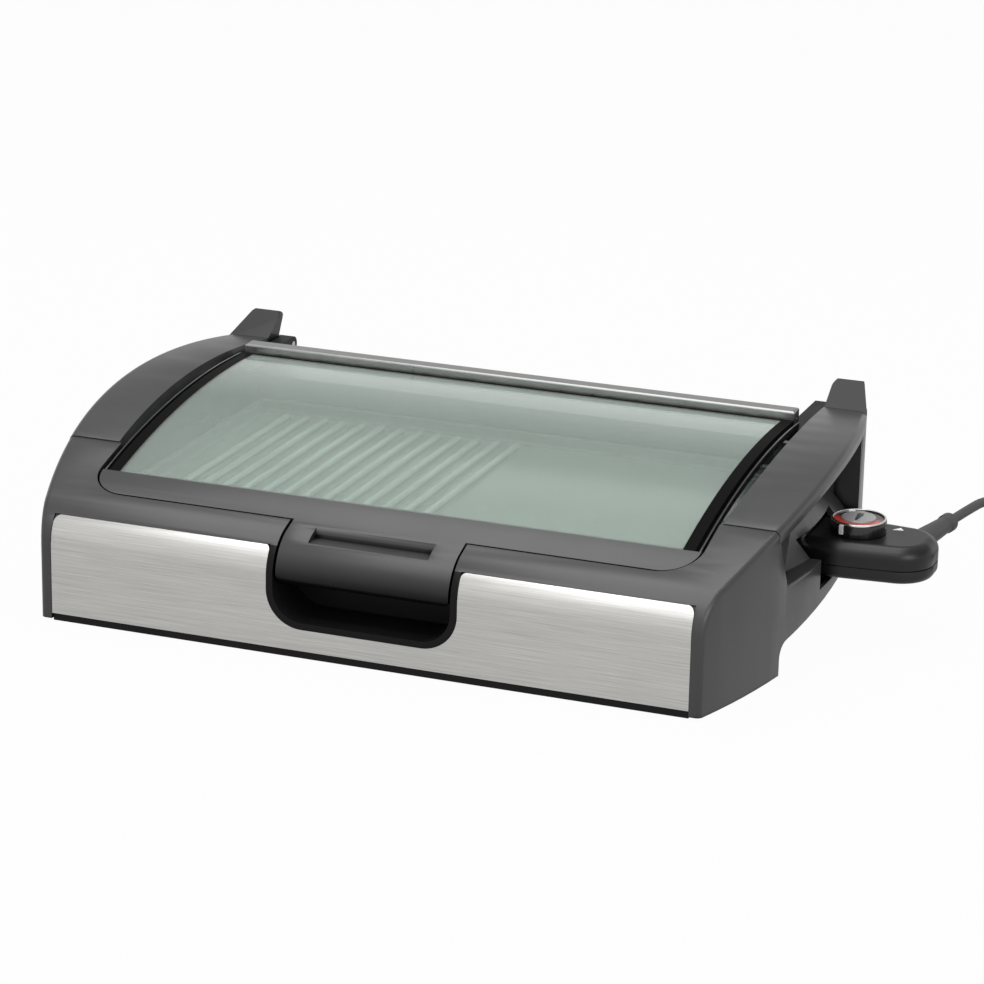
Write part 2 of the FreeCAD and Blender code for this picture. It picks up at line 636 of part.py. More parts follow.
def rail(form):
    """Right rail: top cap with its lip, inner skirt, grip recess, rear corner and hinge ear."""
    raised = form.translated(V(0, 0, RAIL_PROUD))
    edges = [
        Part.Arc(V(RAIL_IN_FRONT, RAIL_SEAM_Y, 0), V(RAIL_IN_MID, (RAIL_SEAM_Y + EAR_Y) / 2, 0),
                 V(RAIL_IN_REAR, EAR_Y, 0)),
        Part.LineSegment(V(RAIL_IN_REAR, EAR_Y, 0), V(RAIL_IN_REAR, EAR_BACK_Y, 0)),
        Part.LineSegment(V(RAIL_IN_REAR, EAR_BACK_Y, 0), V(WIDE, EAR_BACK_Y, 0)),
        Part.LineSegment(V(WIDE, EAR_BACK_Y, 0), V(WIDE, RAIL_SEAM_Y, 0)),
        Part.LineSegment(V(WIDE, RAIL_SEAM_Y, 0), V(RAIL_IN_FRONT, RAIL_SEAM_Y, 0)),
    ]
    plan = Part.Face(Part.Wire([edge.toShape() for edge in edges])).extrude(V(0, 0, HIGH))
    body = raised.common(plan)
    under_cap = crown(0, CASING_DEPTH, RAIL_CAP_T - RAIL_PROUD, TOP_APEX_Z, -WIDE, WIDE)
    under_lip = crown(0, CASING_DEPTH, RAIL_LIP_H, TOP_APEX_Z, -WIDE, WIDE)
    under_skirt = crown(0, CASING_DEPTH, RAIL_SKIRT_H, TOP_APEX_Z, -WIDE, WIDE)
    skirt_zone = plan.cut(plan.translated(V(FLANGE_T, 0, 0)))
    cap = body.cut(under_cap)
    lip = body.cut(under_lip).cut(plan_prism(RAIL_LIP_T, 0, HIGH))
    skirt = body.cut(under_skirt).common(skirt_zone)
    skirt = skirt.cut(box(0, WIDE, REAR_DECK_Y - 1, CASING_DEPTH, 0, REAR_DECK_Z))
    liner = grip_recess(GRIP_SHEET).cut(grip_recess(0)).common(body)
    liner = liner.common(side_prism(grip_side(0), 0, WIDE))
    corner = body.common(box(0, WIDE, EAR_Y + 1, CASING_DEPTH, REAR_DECK_Z, HIGH))
    solid = joined(cap, [lip, skirt, liner, corner, hinge_ear()])
    bore = rod(HINGE_PIN_R, V(RAIL_IN_REAR - 1, HINGE_Y, HINGE_Z),
               V(RAIL_IN_REAR + PIN_DEPTH, HINGE_Y, HINGE_Z))
    return solid.cut(bore)


def front_panel():
    sheet = profile_prism(PANEL_SET, 0, PANEL_WIDTH / 2).cut(profile_prism(PANEL_SEAT, -1, WIDE))
    side = PANEL_WIDTH / 2
    notch = WELL_OUT_HALF + FIT_GAP
    low = WELL_OUT_BOTTOM - FIT_GAP
    outline = [(-side, PANEL_BOTTOM), (side, PANEL_BOTTOM), (side, PANEL_TOP_Z), (notch, PANEL_TOP_Z),
               (notch, low), (-notch, low), (-notch, PANEL_TOP_Z), (-side, PANEL_TOP_Z)]
    radii = [0.0, 0.0, PANEL_CORNER_R, NOTCH_CORNER_R, WELL_OUT_R, WELL_OUT_R, NOTCH_CORNER_R, PANEL_CORNER_R]
    return sheet.common(front_prism(outline, -1, SHOULDER_R, radii))


def grip_pocket():
    outer = well_prism(WELL_OUT_HALF, WELL_OUT_BOTTOM, WELL_OUT_R, WELL_SLEEVE_Y, WELL_BACK_Y, WELL_TOP_Z)
    inner = well_prism(WELL_HALF, WELL_BOTTOM, WELL_R, 0, WELL_BACK_Y - PAN_T, HIGH)
    return outer.cut(inner)


def foot_places():
    places = []
    for x, y in [(FRONT_FOOT_X, FRONT_FOOT_Y), (REAR_FOOT_X, REAR_FOOT_Y)]:
        places.append(V(x, y, TABLE_Z))
        places.append(V(-x, y, TABLE_Z))
    return places


def base_pan():
    inside = plan_prism(WALL + FIT_GAP, 0, HIGH)
    front_floor = inside.common(box(-WIDE, WIDE, SKIRT_Y + WALL, LEG_BACK_Y, PAN_FLOOR_Z, FLOOR_TOP_Z))
    skirt = box(-PANEL_WIDTH / 2 + FIT_GAP, PANEL_WIDTH / 2 - FIT_GAP, SKIRT_Y, SKIRT_Y + WALL, SKIRT_LOW_Z,
                PANEL_BOTTOM + FIT_GAP)
    skirt_top = box(-PANEL_WIDTH / 2 + WALL, PANEL_WIDTH / 2 - WALL, WALL + FIT_GAP, SKIRT_Y + WALL + PAN_T,
                    SKIRT_LOW_Z, FLOOR_TOP_Z)
    tub = box(-PAN_HALF, PAN_HALF, PAN_FRONT_Y, PAN_REAR_Y, PAN_FLOOR_Z, PAN_TOP_Z)
    tub = tub.cut(box(-PAN_HALF + PAN_T, PAN_HALF - PAN_T, PAN_FRONT_Y + PAN_T, PAN_REAR_Y - PAN_T,
                      FLOOR_TOP_Z, HIGH))
    wing = inside.common(box(-WIDE, WIDE, LEG_BACK_Y - PAN_T, CASING_DEPTH, WING_Z, WING_TOP_Z))
    leg_back = inside.common(box(-WIDE, WIDE, LEG_BACK_Y - PAN_T, LEG_BACK_Y, PAN_FLOOR_Z, WING_TOP_Z))
    wing = joined(wing, [leg_back]).cut(box(-PAN_HALF + 1, PAN_HALF - 1, 0, PAN_REAR_Y - 1, 0, HIGH))
    bosses = [rod(FOOT_BOSS_R, place + V(0, 0, FOOT_H - FOOT_INSET), place + V(0, 0, FLOOR_TOP_Z - TABLE_Z))
              for place in foot_places()]
    pan = joined(tub, [front_floor, skirt, skirt_top, wing] + bosses)
    feet = [rod(FOOT_R, place, place + V(0, 0, FOOT_H)) for place in foot_places()]
    inlet = box(0, WIDE, INLET_Y - SHROUD_HALF, INLET_Y + SHROUD_HALF, SHROUD_LOW_Z, HIGH)
    holes = [rod(SCREW_R, place - V(0, 0, PAN_T + 1), place + V(0, 0, 1)) for place in boss_places()]
    return pan.cut(feet + [inlet] + holes)


def rubber_feet():
    return Part.makeCompound([rod(FOOT_R, place, place + V(0, 0, FOOT_H)) for place in foot_places()])


def casing_screws():
    return Part.makeCompound([screw(place - V(0, 0, PAN_T), V(0, 0, 1), SCREW_LENGTH)
                              for place in boss_places()])


def heat_reflector():
    """Sheet-metal dish whose flange lies on the tub's walls."""
    half = REFLECTOR_HALF
    outer = box(-half, half, REFLECTOR_FRONT_Y, REFLECTOR_REAR_Y, REFLECTOR_FLOOR_Z, PLATE_LOW_Z)
    flange = box(-PAN_HALF, PAN_HALF, PAN_FRONT_Y, PAN_REAR_Y, PAN_TOP_Z, PLATE_LOW_Z)
    inner = box(-half + SHEET_T, half - SHEET_T, REFLECTOR_FRONT_Y + SHEET_T, REFLECTOR_REAR_Y - SHEET_T,
                REFLECTOR_FLOOR_Z + SHEET_T, HIGH)
    inlet = box(half - 10, WIDE, INLET_Y - SHROUD_HALF - 1, INLET_Y + SHROUD_HALF + 1, SHROUD_LOW_Z - 1, HIGH)
    drain = rod(SPOUT_R + 2, V(DRAIN_X, DRAIN_Y, 0), V(DRAIN_X, DRAIN_Y, PAN_TOP_Z))
    return joined(outer, [flange]).cut([inner, inlet, drain])


def drip_tray():
    low = FLOOR_TOP_Z
    middle = DRAIN_Y + TRAY_BACK_SET
    outer = box(DRAIN_X - TRAY_HALF_X, DRAIN_X + TRAY_HALF_X, middle - TRAY_HALF_Y, middle + TRAY_HALF_Y,
                low, low + TRAY_H)
    inner = box(DRAIN_X - TRAY_HALF_X + TRAY_WALL, DRAIN_X + TRAY_HALF_X - TRAY_WALL,
                middle - TRAY_HALF_Y + TRAY_WALL, middle + TRAY_HALF_Y - TRAY_WALL, low + TRAY_WALL, HIGH)
    return outer.cut(inner)


def grill_plate():
    outer = box(-PLATE_HALF, PLATE_HALF, PLATE_FRONT_Y, PLATE_REAR_Y, PLATE_LOW_Z, PLATE_TOP_Z + PLATE_RIM_H)
    slope = PLATE_RIM_T / 2
    dish = box(-PLATE_HALF + PLATE_RIM_T, PLATE_HALF - PLATE_RIM_T, PLATE_FRONT_Y + PLATE_RIM_T,
               PLATE_REAR_Y - PLATE_RIM_T, PLATE_TOP_Z, HIGH)
    plate = outer.cut(dish.makeFillet(slope, [edge for edge in dish.Edges if edge.BoundBox.ZLength < 1e-6
                                              and edge.CenterOfMass.z < PLATE_TOP_Z + 1]))
    ribs = []
    front = PLATE_FRONT_Y + PLATE_RIM_T + RIB_END_GAP
    rear = PLATE_REAR_Y - PLATE_RIM_T - RIB_END_GAP
    for index in range(RIB_COUNT):
        x = RIB_SIDE_SET - PLATE_HALF + index * RIB_PITCH
        left = x - RIB_W / 2
        right = x + RIB_W / 2
        outline = [(left, front), (right, front), (right, rear), (left, rear)]
        rib = plan_solid(outline, PLATE_TOP_Z - 1, PLATE_TOP_Z + RIB_H, [RIB_W * 0.45] * 4)
        tops = [edge for edge in rib.Edges if edge.BoundBox.ZMin > PLATE_TOP_Z + RIB_H - 0.01]
        ribs.append(rib.makeFillet(RIB_W * 0.3, tops))
    spout = rod(SPOUT_R, V(DRAIN_X, DRAIN_Y, REFLECTOR_FLOOR_Z - 4), V(DRAIN_X, DRAIN_Y, PLATE_TOP_Z))
    drain = rod(DRAIN_R, V(DRAIN_X, DRAIN_Y, 0), V(DRAIN_X, DRAIN_Y, HIGH))
    return joined(plate, ribs + [spout]).cut(drain)


def element_route():
    near, far = PIN_Y
    return [V(ELEMENT_END_X, near, ELEMENT_Z), V(ELEMENT_HALF, near, ELEMENT_Z),
            V(ELEMENT_HALF, ELEMENT_FRONT_Y, ELEMENT_Z), V(-ELEMENT_HALF, ELEMENT_FRONT_Y, ELEMENT_Z),
            V(-ELEMENT_HALF, ELEMENT_REAR_Y, ELEMENT_Z), V(ELEMENT_HALF, ELEMENT_REAR_Y, ELEMENT_Z),
            V(ELEMENT_HALF, far, ELEMENT_Z), V(ELEMENT_END_X, far, ELEMENT_Z)]


def tube(points, bends, radius):
    """Tube along straight runs joined by tangent arcs of the given radii."""
    edges = []
    last = points[0]
    for index in range(1, len(points) - 1):
        corner = points[index]
        back = (points[index - 1] - corner).normalize()
        ahead = (points[index + 1] - corner).normalize()
        half = back.getAngle(ahead) / 2
        cut = bends[index - 1] / math.tan(half)
        inward = (back + ahead).normalize()
        middle = corner + inward * (bends[index - 1] / math.sin(half) - bends[index - 1])
        edges.append(Part.LineSegment(last, corner + back * cut).toShape())
        edges.append(Part.Arc(corner + back * cut, middle, corner + ahead * cut).toShape())
        last = corner + ahead * cut
    edges.append(Part.LineSegment(last, points[-1]).toShape())
    return swept(edges, radius)


def swept(edges, radius):
    path = Part.Wire(edges)
    start = edges[0].valueAt(edges[0].FirstParameter)
    way = edges[0].tangentAt(edges[0].FirstParameter)
    ring = Part.Wire([Part.Circle(start, way, radius).toShape()])
    return path.makePipeShell([ring], True, False)


def heating_element():
    route = element_route()
    return tube(route, [ELEMENT_BEND_R] * (len(route) - 2), ELEMENT_R)


def element_clips():
    """Straps under the plate that hold the heater's long runs."""
    clips = []
    outer = ELEMENT_R + CLIP_WALL
    for y in (ELEMENT_FRONT_Y, ELEMENT_REAR_Y):
        for x in (-CLIP_X, CLIP_X):
            low = ELEMENT_Z - outer
            strap = box(x - CLIP_W / 2, x + CLIP_W / 2, y - outer, y + outer, low, PLATE_LOW_Z)
            hole = rod(ELEMENT_R + 0.02, V(x - CLIP_W, y, ELEMENT_Z), V(x + CLIP_W, y, ELEMENT_Z))
            clips.append(strap.cut(hole))
    return Part.makeCompound(clips)


def sensor_tube():
    """Sleeve under the plate with a saddle up to it."""
    start = V(SENSOR_TUBE_X, INLET_Y, ELEMENT_Z)
    end = V(SHROUD_IN_X, INLET_Y, ELEMENT_Z)
    sleeve = rod(SENSOR_TUBE_R, start, end)
    saddle = box(SENSOR_TUBE_X, PLATE_HALF - PLATE_RIM_T, INLET_Y - SENSOR_TUBE_R / 2,
                 INLET_Y + SENSOR_TUBE_R / 2, ELEMENT_Z, PLATE_LOW_Z)
    return joined(sleeve, [saddle]).cut(rod(SENSOR_R + PIN_CLEARANCE, start, end))


def terminal_shroud():
    """Box open to the outside, with holes for the pins and the sensor in its inner wall."""
    outer = box(SHROUD_IN_X, SHROUD_OUT_X, INLET_Y - SHROUD_HALF, INLET_Y + SHROUD_HALF, SHROUD_LOW_Z,
                SHROUD_HIGH_Z)
    wall = SHROUD_WALL
    inner = box(ELEMENT_END_X + wall, WIDE, INLET_Y - SHROUD_HALF + wall, INLET_Y + SHROUD_HALF - wall,
                SHROUD_LOW_Z + wall, SHROUD_HIGH_Z - wall)
    ends = [rod(ELEMENT_R, V(0, y, ELEMENT_Z), V(ELEMENT_END_X, y, ELEMENT_Z)) for y in PIN_Y]
    pins = [rod(PIN_R, V(0, y, ELEMENT_Z), V(WIDE, y, ELEMENT_Z)) for y in PIN_Y]
    sensor = rod(SENSOR_R + PIN_CLEARANCE, V(0, INLET_Y, ELEMENT_Z), V(WIDE, INLET_Y, ELEMENT_Z))
    return outer.cut([inner, sensor] + ends + pins)


def contact_pins():
    return Part.makeCompound([rod(PIN_R, V(ELEMENT_END_X, y, ELEMENT_Z), V(PIN_TIP_X, y, ELEMENT_Z))
                              for y in PIN_Y])


def hinge_pins():
    pin = rod(HINGE_PIN_R, V(ARM_IN_X, HINGE_Y, HINGE_Z), V(RAIL_IN_REAR + PIN_DEPTH, HINGE_Y, HINGE_Z))
    return Part.makeCompound([pin, mirrored(pin)])


# Lid pieces
def lid_glass():
    glass = crown(GLASS_FRONT_Y, GLASS_REAR_Y, LID_DROP, LID_DROP + GLASS_T, -GLASS_HALF, GLASS_HALF)
    return glass


def thumb_recess():
    """Pocket in the handle, with a rolled rear edge."""
    top = top_z(THUMB_REAR_Y, LID_DROP)
    floor = top_z((THUMB_FRONT_Y + THUMB_REAR_Y) / 2, LID_DROP) - THUMB_DEPTH
    pocket = box(-THUMB_HALF, THUMB_HALF, THUMB_FRONT_Y, THUMB_REAR_Y - THUMB_ROLL_R, floor, HIGH)
    roll = box(-THUMB_HALF, THUMB_HALF, THUMB_REAR_Y - THUMB_ROLL_R - 1, THUMB_REAR_Y, floor, HIGH)
    centre = V(-THUMB_HALF - 1, THUMB_REAR_Y, top - THUMB_ROLL_R)
    roller = rod(THUMB_ROLL_R, centre, centre + V(2 * THUMB_HALF + 2, 0, 0))
    below = box(-THUMB_HALF, THUMB_HALF, THUMB_REAR_Y - THUMB_ROLL_R, THUMB_REAR_Y, floor - 1,
                top - THUMB_ROLL_R)
    return joined(pocket, [roll.cut([roller, below])])


def flap_roll():
    """Lower edge of the hand flap, rolled under, up to the height where the flat flap joins it."""
    outer = SHOULDER_R - LID_DROP
    inner = outer - FLAP_T
    middle = V(-FLAP_HALF, SHOULDER_R, SHOULDER_Z)
    rise = FLAP_LOW_Z + FLAP_ROLL_R - SHOULDER_Z
    angle = math.asin(rise / (outer - FLAP_ROLL_R))
    way = V(0, -math.cos(angle), math.sin(angle))
    centre = middle + way * (outer - FLAP_ROLL_R)
    join = FLAP_JOIN_Z - SHOULDER_Z
    start = V(-FLAP_HALF, SHOULDER_R - math.sqrt(outer ** 2 - join ** 2), FLAP_JOIN_Z)
    inside = V(-FLAP_HALF, SHOULDER_R - math.sqrt(inner ** 2 - join ** 2), FLAP_JOIN_Z)
    high = math.asin(join / outer)
    between = V(0, -math.cos((angle + high) / 2), math.sin((angle + high) / 2))
    tangent = middle + way * outer
    bottom = centre - V(0, 0, FLAP_ROLL_R)
    rear = centre + V(0, FLAP_ROLL_R, 0)
    edges = [
        Part.Arc(start, middle + between * outer, tangent),
        Part.Arc(tangent, bottom, rear),
        Part.LineSegment(rear, inside),
        Part.LineSegment(inside, start),
    ]
    wire = Part.Wire([edge.toShape() for edge in edges])
    return Part.Face(wire).extrude(V(2 * FLAP_HALF, 0, 0))


def lid_apron():
    """Front of the lid: curved skin with a lip, glass ledge and the handle flap."""
    outline = [(-LID_HALF, LID_FRONT_Y), (LID_HALF, LID_FRONT_Y), (LID_HALF, GLASS_FRONT_Y),
               (-LID_HALF, GLASS_FRONT_Y)]
    plan = plan_solid(outline, 0, HIGH, [LID_CORNER_R - 2, LID_CORNER_R - 2, 0.0, 0.0])
    in_half = LID_HALF - LID_LIP_T
    in_front = LID_FRONT_Y + LID_LIP_T
    inner = plan_solid([(-in_half, in_front), (in_half, in_front), (in_half, CASING_DEPTH),
                        (-in_half, CASING_DEPTH)], 0, HIGH, [LID_CORNER_R - 2 - LID_LIP_T] * 2 + [0.0] * 2)
    skin = crown(LID_FRONT_Y - 5, GLASS_FRONT_Y, LID_DROP, LID_DROP + LID_SKIN, -WIDE, WIDE).common(plan)
    lip = crown(LID_FRONT_Y - 5, GLASS_FRONT_Y, LID_DROP, LID_DROP + LID_LIP_H, -WIDE, WIDE)
    lip = lip.common(plan).cut(inner)
    back = GLASS_FRONT_Y - LEDGE_W / 2
    ledge_half = LID_BAR_IN_X - FIT_GAP
    step = crown(back, GLASS_FRONT_Y, LID_DROP, GLASS_LOW + LEDGE_T, -LID_BAR_OUT_X, LID_BAR_OUT_X)
    ledge = crown(back, GLASS_FRONT_Y + LEDGE_W, GLASS_LOW, GLASS_LOW + LEDGE_T, -ledge_half, ledge_half)
    flap = profile_prism(LID_DROP, 0, FLAP_HALF).cut(profile_prism(LID_DROP + FLAP_T, -1, WIDE))
    flap = flap.common(box(-WIDE, WIDE, 0, LID_FRONT_Y + LID_LIP_T, FLAP_JOIN_Z, HIGH))
    flap = joined(flap, [flap_roll()])
    flap = flap.common(front_prism([(-FLAP_HALF, FLAP_LOW_Z), (FLAP_HALF, FLAP_LOW_Z), (FLAP_HALF, HIGH),
                                    (-FLAP_HALF, HIGH)], -1, CASING_DEPTH, [FLAP_CORNER_R] * 2 + [0.0] * 2))
    deep = THUMB_DEPTH + THUMB_FLOOR_T
    block = profile_prism(LID_DROP, 0, THUMB_HALF + LID_LIP_T)
    block = block.cut(profile_prism(LID_DROP + deep + 2, -1, WIDE))
    block = block.common(box(-WIDE, WIDE, THUMB_FRONT_Y - LID_LIP_T, LID_FRONT_Y + LID_LIP_T, FLAP_JOIN_Z,
                             HIGH))
    apron = joined(skin, [lip, step, ledge, flap, block])
    return apron.cut(thumb_recess())


def lid_bar():
    """Right side bar: an upright edge beside the glass with a ledge under it."""
    ledge = crown(GLASS_FRONT_Y, GLASS_REAR_Y, GLASS_LOW, GLASS_LOW + LID_BAR_T, LID_BAR_IN_X, LID_BAR_OUT_X)
    edge = crown(GLASS_FRONT_Y, GLASS_REAR_Y, LID_DROP + LID_BAR_DROP, GLASS_LOW + LID_BAR_T,
                 LID_BAR_OUT_X - LID_BAR_T, LID_BAR_OUT_X)
    return joined(ledge, [edge])


def lid_screw_places():
    x = (ARM_IN_X + ARM_OUT_X) / 2
    return [V(x, LID_SCREW_Y, ARM_LOW_Z + 1), V(-x, LID_SCREW_Y, ARM_LOW_Z + 1)]


def lid_screws():
    return Part.makeCompound([screw(place, V(0, 0, 1), LID_SCREW_LENGTH) for place in lid_screw_places()])


def lid_rear_rail():
    front = GLASS_REAR_Y + GLASS_SEAT_GAP
    bar = box(-REAR_RAIL_HALF, REAR_RAIL_HALF, front, REAR_RAIL_REAR_Y, REAR_RAIL_LOW_Z, REAR_RAIL_TOP_Z)
    tops = [edge for edge in bar.Edges if edge.BoundBox.ZMin > REAR_RAIL_TOP_Z - 1e-6]
    bar = bar.makeFillet(REAR_RAIL_EDGE_R, tops)
    half = LID_BAR_IN_X - FIT_GAP
    ledge = crown(GLASS_REAR_Y - LEDGE_W, REAR_RAIL_REAR_Y - 2, GLASS_LOW, GLASS_LOW + LEDGE_T, -half, half)
    screws = [screw(place, V(0, 0, 1), LID_SCREW_LENGTH) for place in lid_screw_places()]
    return joined(bar, [ledge]).cut(screws)


def hinge_arm():
    """Right hinge arm: a bar under the rear rail that ends in the knuckle."""
    front = GLASS_REAR_Y + 1
    bar = side_prism([(front, ARM_LOW_Z + 1), (HINGE_Y, HINGE_Z - KNUCKLE_R), (HINGE_Y, HINGE_Z + KNUCKLE_R),
                      (REAR_RAIL_REAR_Y, REAR_RAIL_LOW_Z), (front, REAR_RAIL_LOW_Z)], ARM_IN_X, ARM_OUT_X)
    knuckle = rod(KNUCKLE_R, V(ARM_IN_X, HINGE_Y, HINGE_Z), V(ARM_OUT_X, HINGE_Y, HINGE_Z))
    bore = rod(HINGE_PIN_R + HINGE_CLEARANCE, V(ARM_IN_X - 1, HINGE_Y, HINGE_Z),
               V(ARM_OUT_X + 1, HINGE_Y, HINGE_Z))
    place = lid_screw_places()[0]
    return joined(bar, [knuckle]).cut([bore, screw(place, V(0, 0, 1), LID_SCREW_LENGTH)])


# Thermostat control
def control_outline(inset):
    inner = CONTROL_IN_X + inset
    outer = CONTROL_OUT_X - inset
    waist = CONTROL_WIDE_HALF - inset
    points = [(inner, INLET_Y - CONTROL_IN_HALF + inset), (CONTROL_WIDE_X, INLET_Y - waist),
              (outer, INLET_Y - CONTROL_OUT_HALF + inset), (outer, INLET_Y + CONTROL_OUT_HALF - inset),
              (CONTROL_WIDE_X, INLET_Y + waist), (inner, INLET_Y + CONTROL_IN_HALF - inset)]
    end = CONTROL_END_R - inset
    corner = CONTROL_IN_R - inset
    return points, [corner, CONTROL_WAIST_R, end, end, CONTROL_WAIST_R, corner]


def control_form():
    points, radii = control_outline(0)
    form = plan_solid(points, CONTROL_LOW_Z, CONTROL_TOP_Z, radii)
    low = [edge for edge in form.Edges if edge.BoundBox.ZMax < CONTROL_LOW_Z + 1e-6]
    high = [edge for edge in form.Edges if edge.BoundBox.ZMin > CONTROL_TOP_Z - 1e-6]
    return form.makeFillet(CONTROL_EDGE_R, low).makeFillet(CONTROL_DOME_R, high)


def control_hollow():
    points, radii = control_outline(CONTROL_WALL)
    top = CONTROL_TOP_Z - CONTROL_WALL
    hollow = plan_solid(points, CONTROL_LOW_Z + CONTROL_WALL, top, radii)
    high = [edge for edge in hollow.Edges if edge.BoundBox.ZMin > top - 1e-6]
    return hollow.makeFillet(CONTROL_DOME_R - CONTROL_WALL, high)


def control_groove():
    """Shadow groove round the shells' parting line."""
    points, radii = control_outline(0)
    inner_points, inner_radii = control_outline(CONTROL_GROOVE)
    low = CONTROL_SPLIT_Z
    outer = plan_solid(points, low, low + CONTROL_GROOVE, radii)
    return outer.cut(plan_solid(inner_points, low, low + CONTROL_GROOVE, inner_radii))


def block_form():
    inset = SHROUD_WALL + BLOCK_GAP
    half = SHROUD_HALF - inset
    return box(BLOCK_IN_X, BLOCK_OUT_X, INLET_Y - half, INLET_Y + half, SHROUD_LOW_Z + inset,
               SHROUD_HIGH_Z - inset)


def relief_ends():
    start = V(RELIEF_X, RELIEF_Y, RELIEF_Z)
    angle = math.radians(RELIEF_DEG)
    way = V(math.cos(angle), math.sin(angle), 0)
    return start, way


def cord_relief():
    """Tapered sleeve with a collar that the cord leaves from."""
    start, way = relief_ends()
    end = start + way * RELIEF_LENGTH
    taper = Part.makeCone(RELIEF_ROOT_R, RELIEF_TIP_R, RELIEF_LENGTH, start, way)
    collar = rod(COLLAR_R, end - way * COLLAR_LENGTH, end)
    collar = collar.makeFillet(COLLAR_EDGE_R, [edge for edge in collar.Edges if edge.Closed])
    sleeve = joined(taper, [collar])
    return sleeve.cut(control_form())


def control_screw_places():
    low = CONTROL_LOW_Z + 1
    inner = CONTROL_WIDE_X - CONTROL_POST_BACK
    return [V(CONTROL_OUT_X - CONTROL_POST_SET, INLET_Y, low), V(inner, INLET_Y - CONTROL_POST_ASIDE, low),
            V(inner, INLET_Y + CONTROL_POST_ASIDE, low)]


def control_screws():
    return Part.makeCompound([screw(place + V(0, 0, 1), V(0, 0, 1), SCREW_LENGTH)
                              for place in control_screw_places()])


def control_shells():
    form = control_form()
    posts = [rod(BOSS_R, place + V(0, 0, 0.5), place + V(0, 0, CONTROL_TOP_Z - CONTROL_LOW_Z - 2))
             for place in control_screw_places()]
    shell = joined(form.cut(control_hollow()), [post.common(form) for post in posts])
    shaft = rod(SHAFT_R + SHAFT_CLEARANCE, V(KNOB_X, INLET_Y, CONTROL_SPLIT_Z), V(KNOB_X, INLET_Y, HIGH))
    screws = [screw(place + V(0, 0, 1), V(0, 0, 1), SCREW_LENGTH) for place in control_screw_places()]
    wells = [rod(SCREW_HEAD_R, place - V(0, 0, 2), place) for place in control_screw_places()]
    shell = shell.cut([block_form(), shaft, control_groove()] + screws + wells)
    reach = [CONTROL_IN_X - 1, CONTROL_OUT_X + 1, INLET_Y - CONTROL_WIDE_HALF - 1,
             INLET_Y + CONTROL_WIDE_HALF + 1]
    upper = shell.common(box(*reach, CONTROL_SPLIT_Z, CONTROL_TOP_Z))
    lower = shell.common(box(*reach, CONTROL_LOW_Z, CONTROL_SPLIT_Z))
    return upper, lower


def contact_block():
    sleeves = [rod(SLEEVE_R, V(0, y, ELEMENT_Z), V(WIDE, y, ELEMENT_Z)) for y in PIN_Y]
    sensor = rod(SENSOR_R, V(0, INLET_Y, ELEMENT_Z), V(WIDE, INLET_Y, ELEMENT_Z))
    return block_form().cut(sleeves + [sensor])


def contact_sleeves():
    sleeves = []
    for y in PIN_Y:
        start = V(BLOCK_IN_X, y, ELEMENT_Z)
        end = V(BLOCK_OUT_X, y, ELEMENT_Z)
        sleeves.append(rod(SLEEVE_R, start, end).cut(rod(PIN_R + PIN_CLEARANCE, start, end)))
    return Part.makeCompound(sleeves)


def sensor_probe():
    return rod(SENSOR_R, V(SENSOR_TIP_X, INLET_Y, ELEMENT_Z), V(BLOCK_OUT_X, INLET_Y, ELEMENT_Z))


def thermostat_switch():
    low = CONTROL_LOW_Z + CONTROL_WALL
    return box(KNOB_X - SWITCH_LENGTH / 2, KNOB_X + SWITCH_LENGTH / 2, INLET_Y - SWITCH_HALF,
               INLET_Y + SWITCH_HALF, low, low + SWITCH_H)


def pointer_mark():
    outline = [(MARK_X - MARK_SIZE / 2, MARK_Y - MARK_SIZE * 0.3),
               (MARK_X + MARK_SIZE / 2, MARK_Y - MARK_SIZE * 0.1),
               (MARK_X + MARK_SIZE * 0.1, MARK_Y + MARK_SIZE * 0.5)]
    return plan_solid(outline, CONTROL_TOP_Z, CONTROL_TOP_Z + MARK_T)


# Knob pieces
def knob_axis(z):
    return V(KNOB_X, INLET_Y, z)


def marker_form():
    bar = box(KNOB_R - 1.5, KNOB_R + 0.6, -MARKER_W / 2, MARKER_W / 2, KNOB_LOW_Z + 2, KNOB_TOP_Z - BEZEL_H)
    bar.rotate(V(0, 0, 0), V(0, 0, 1), MARKER_DEG)
    return bar.translated(knob_axis(0))


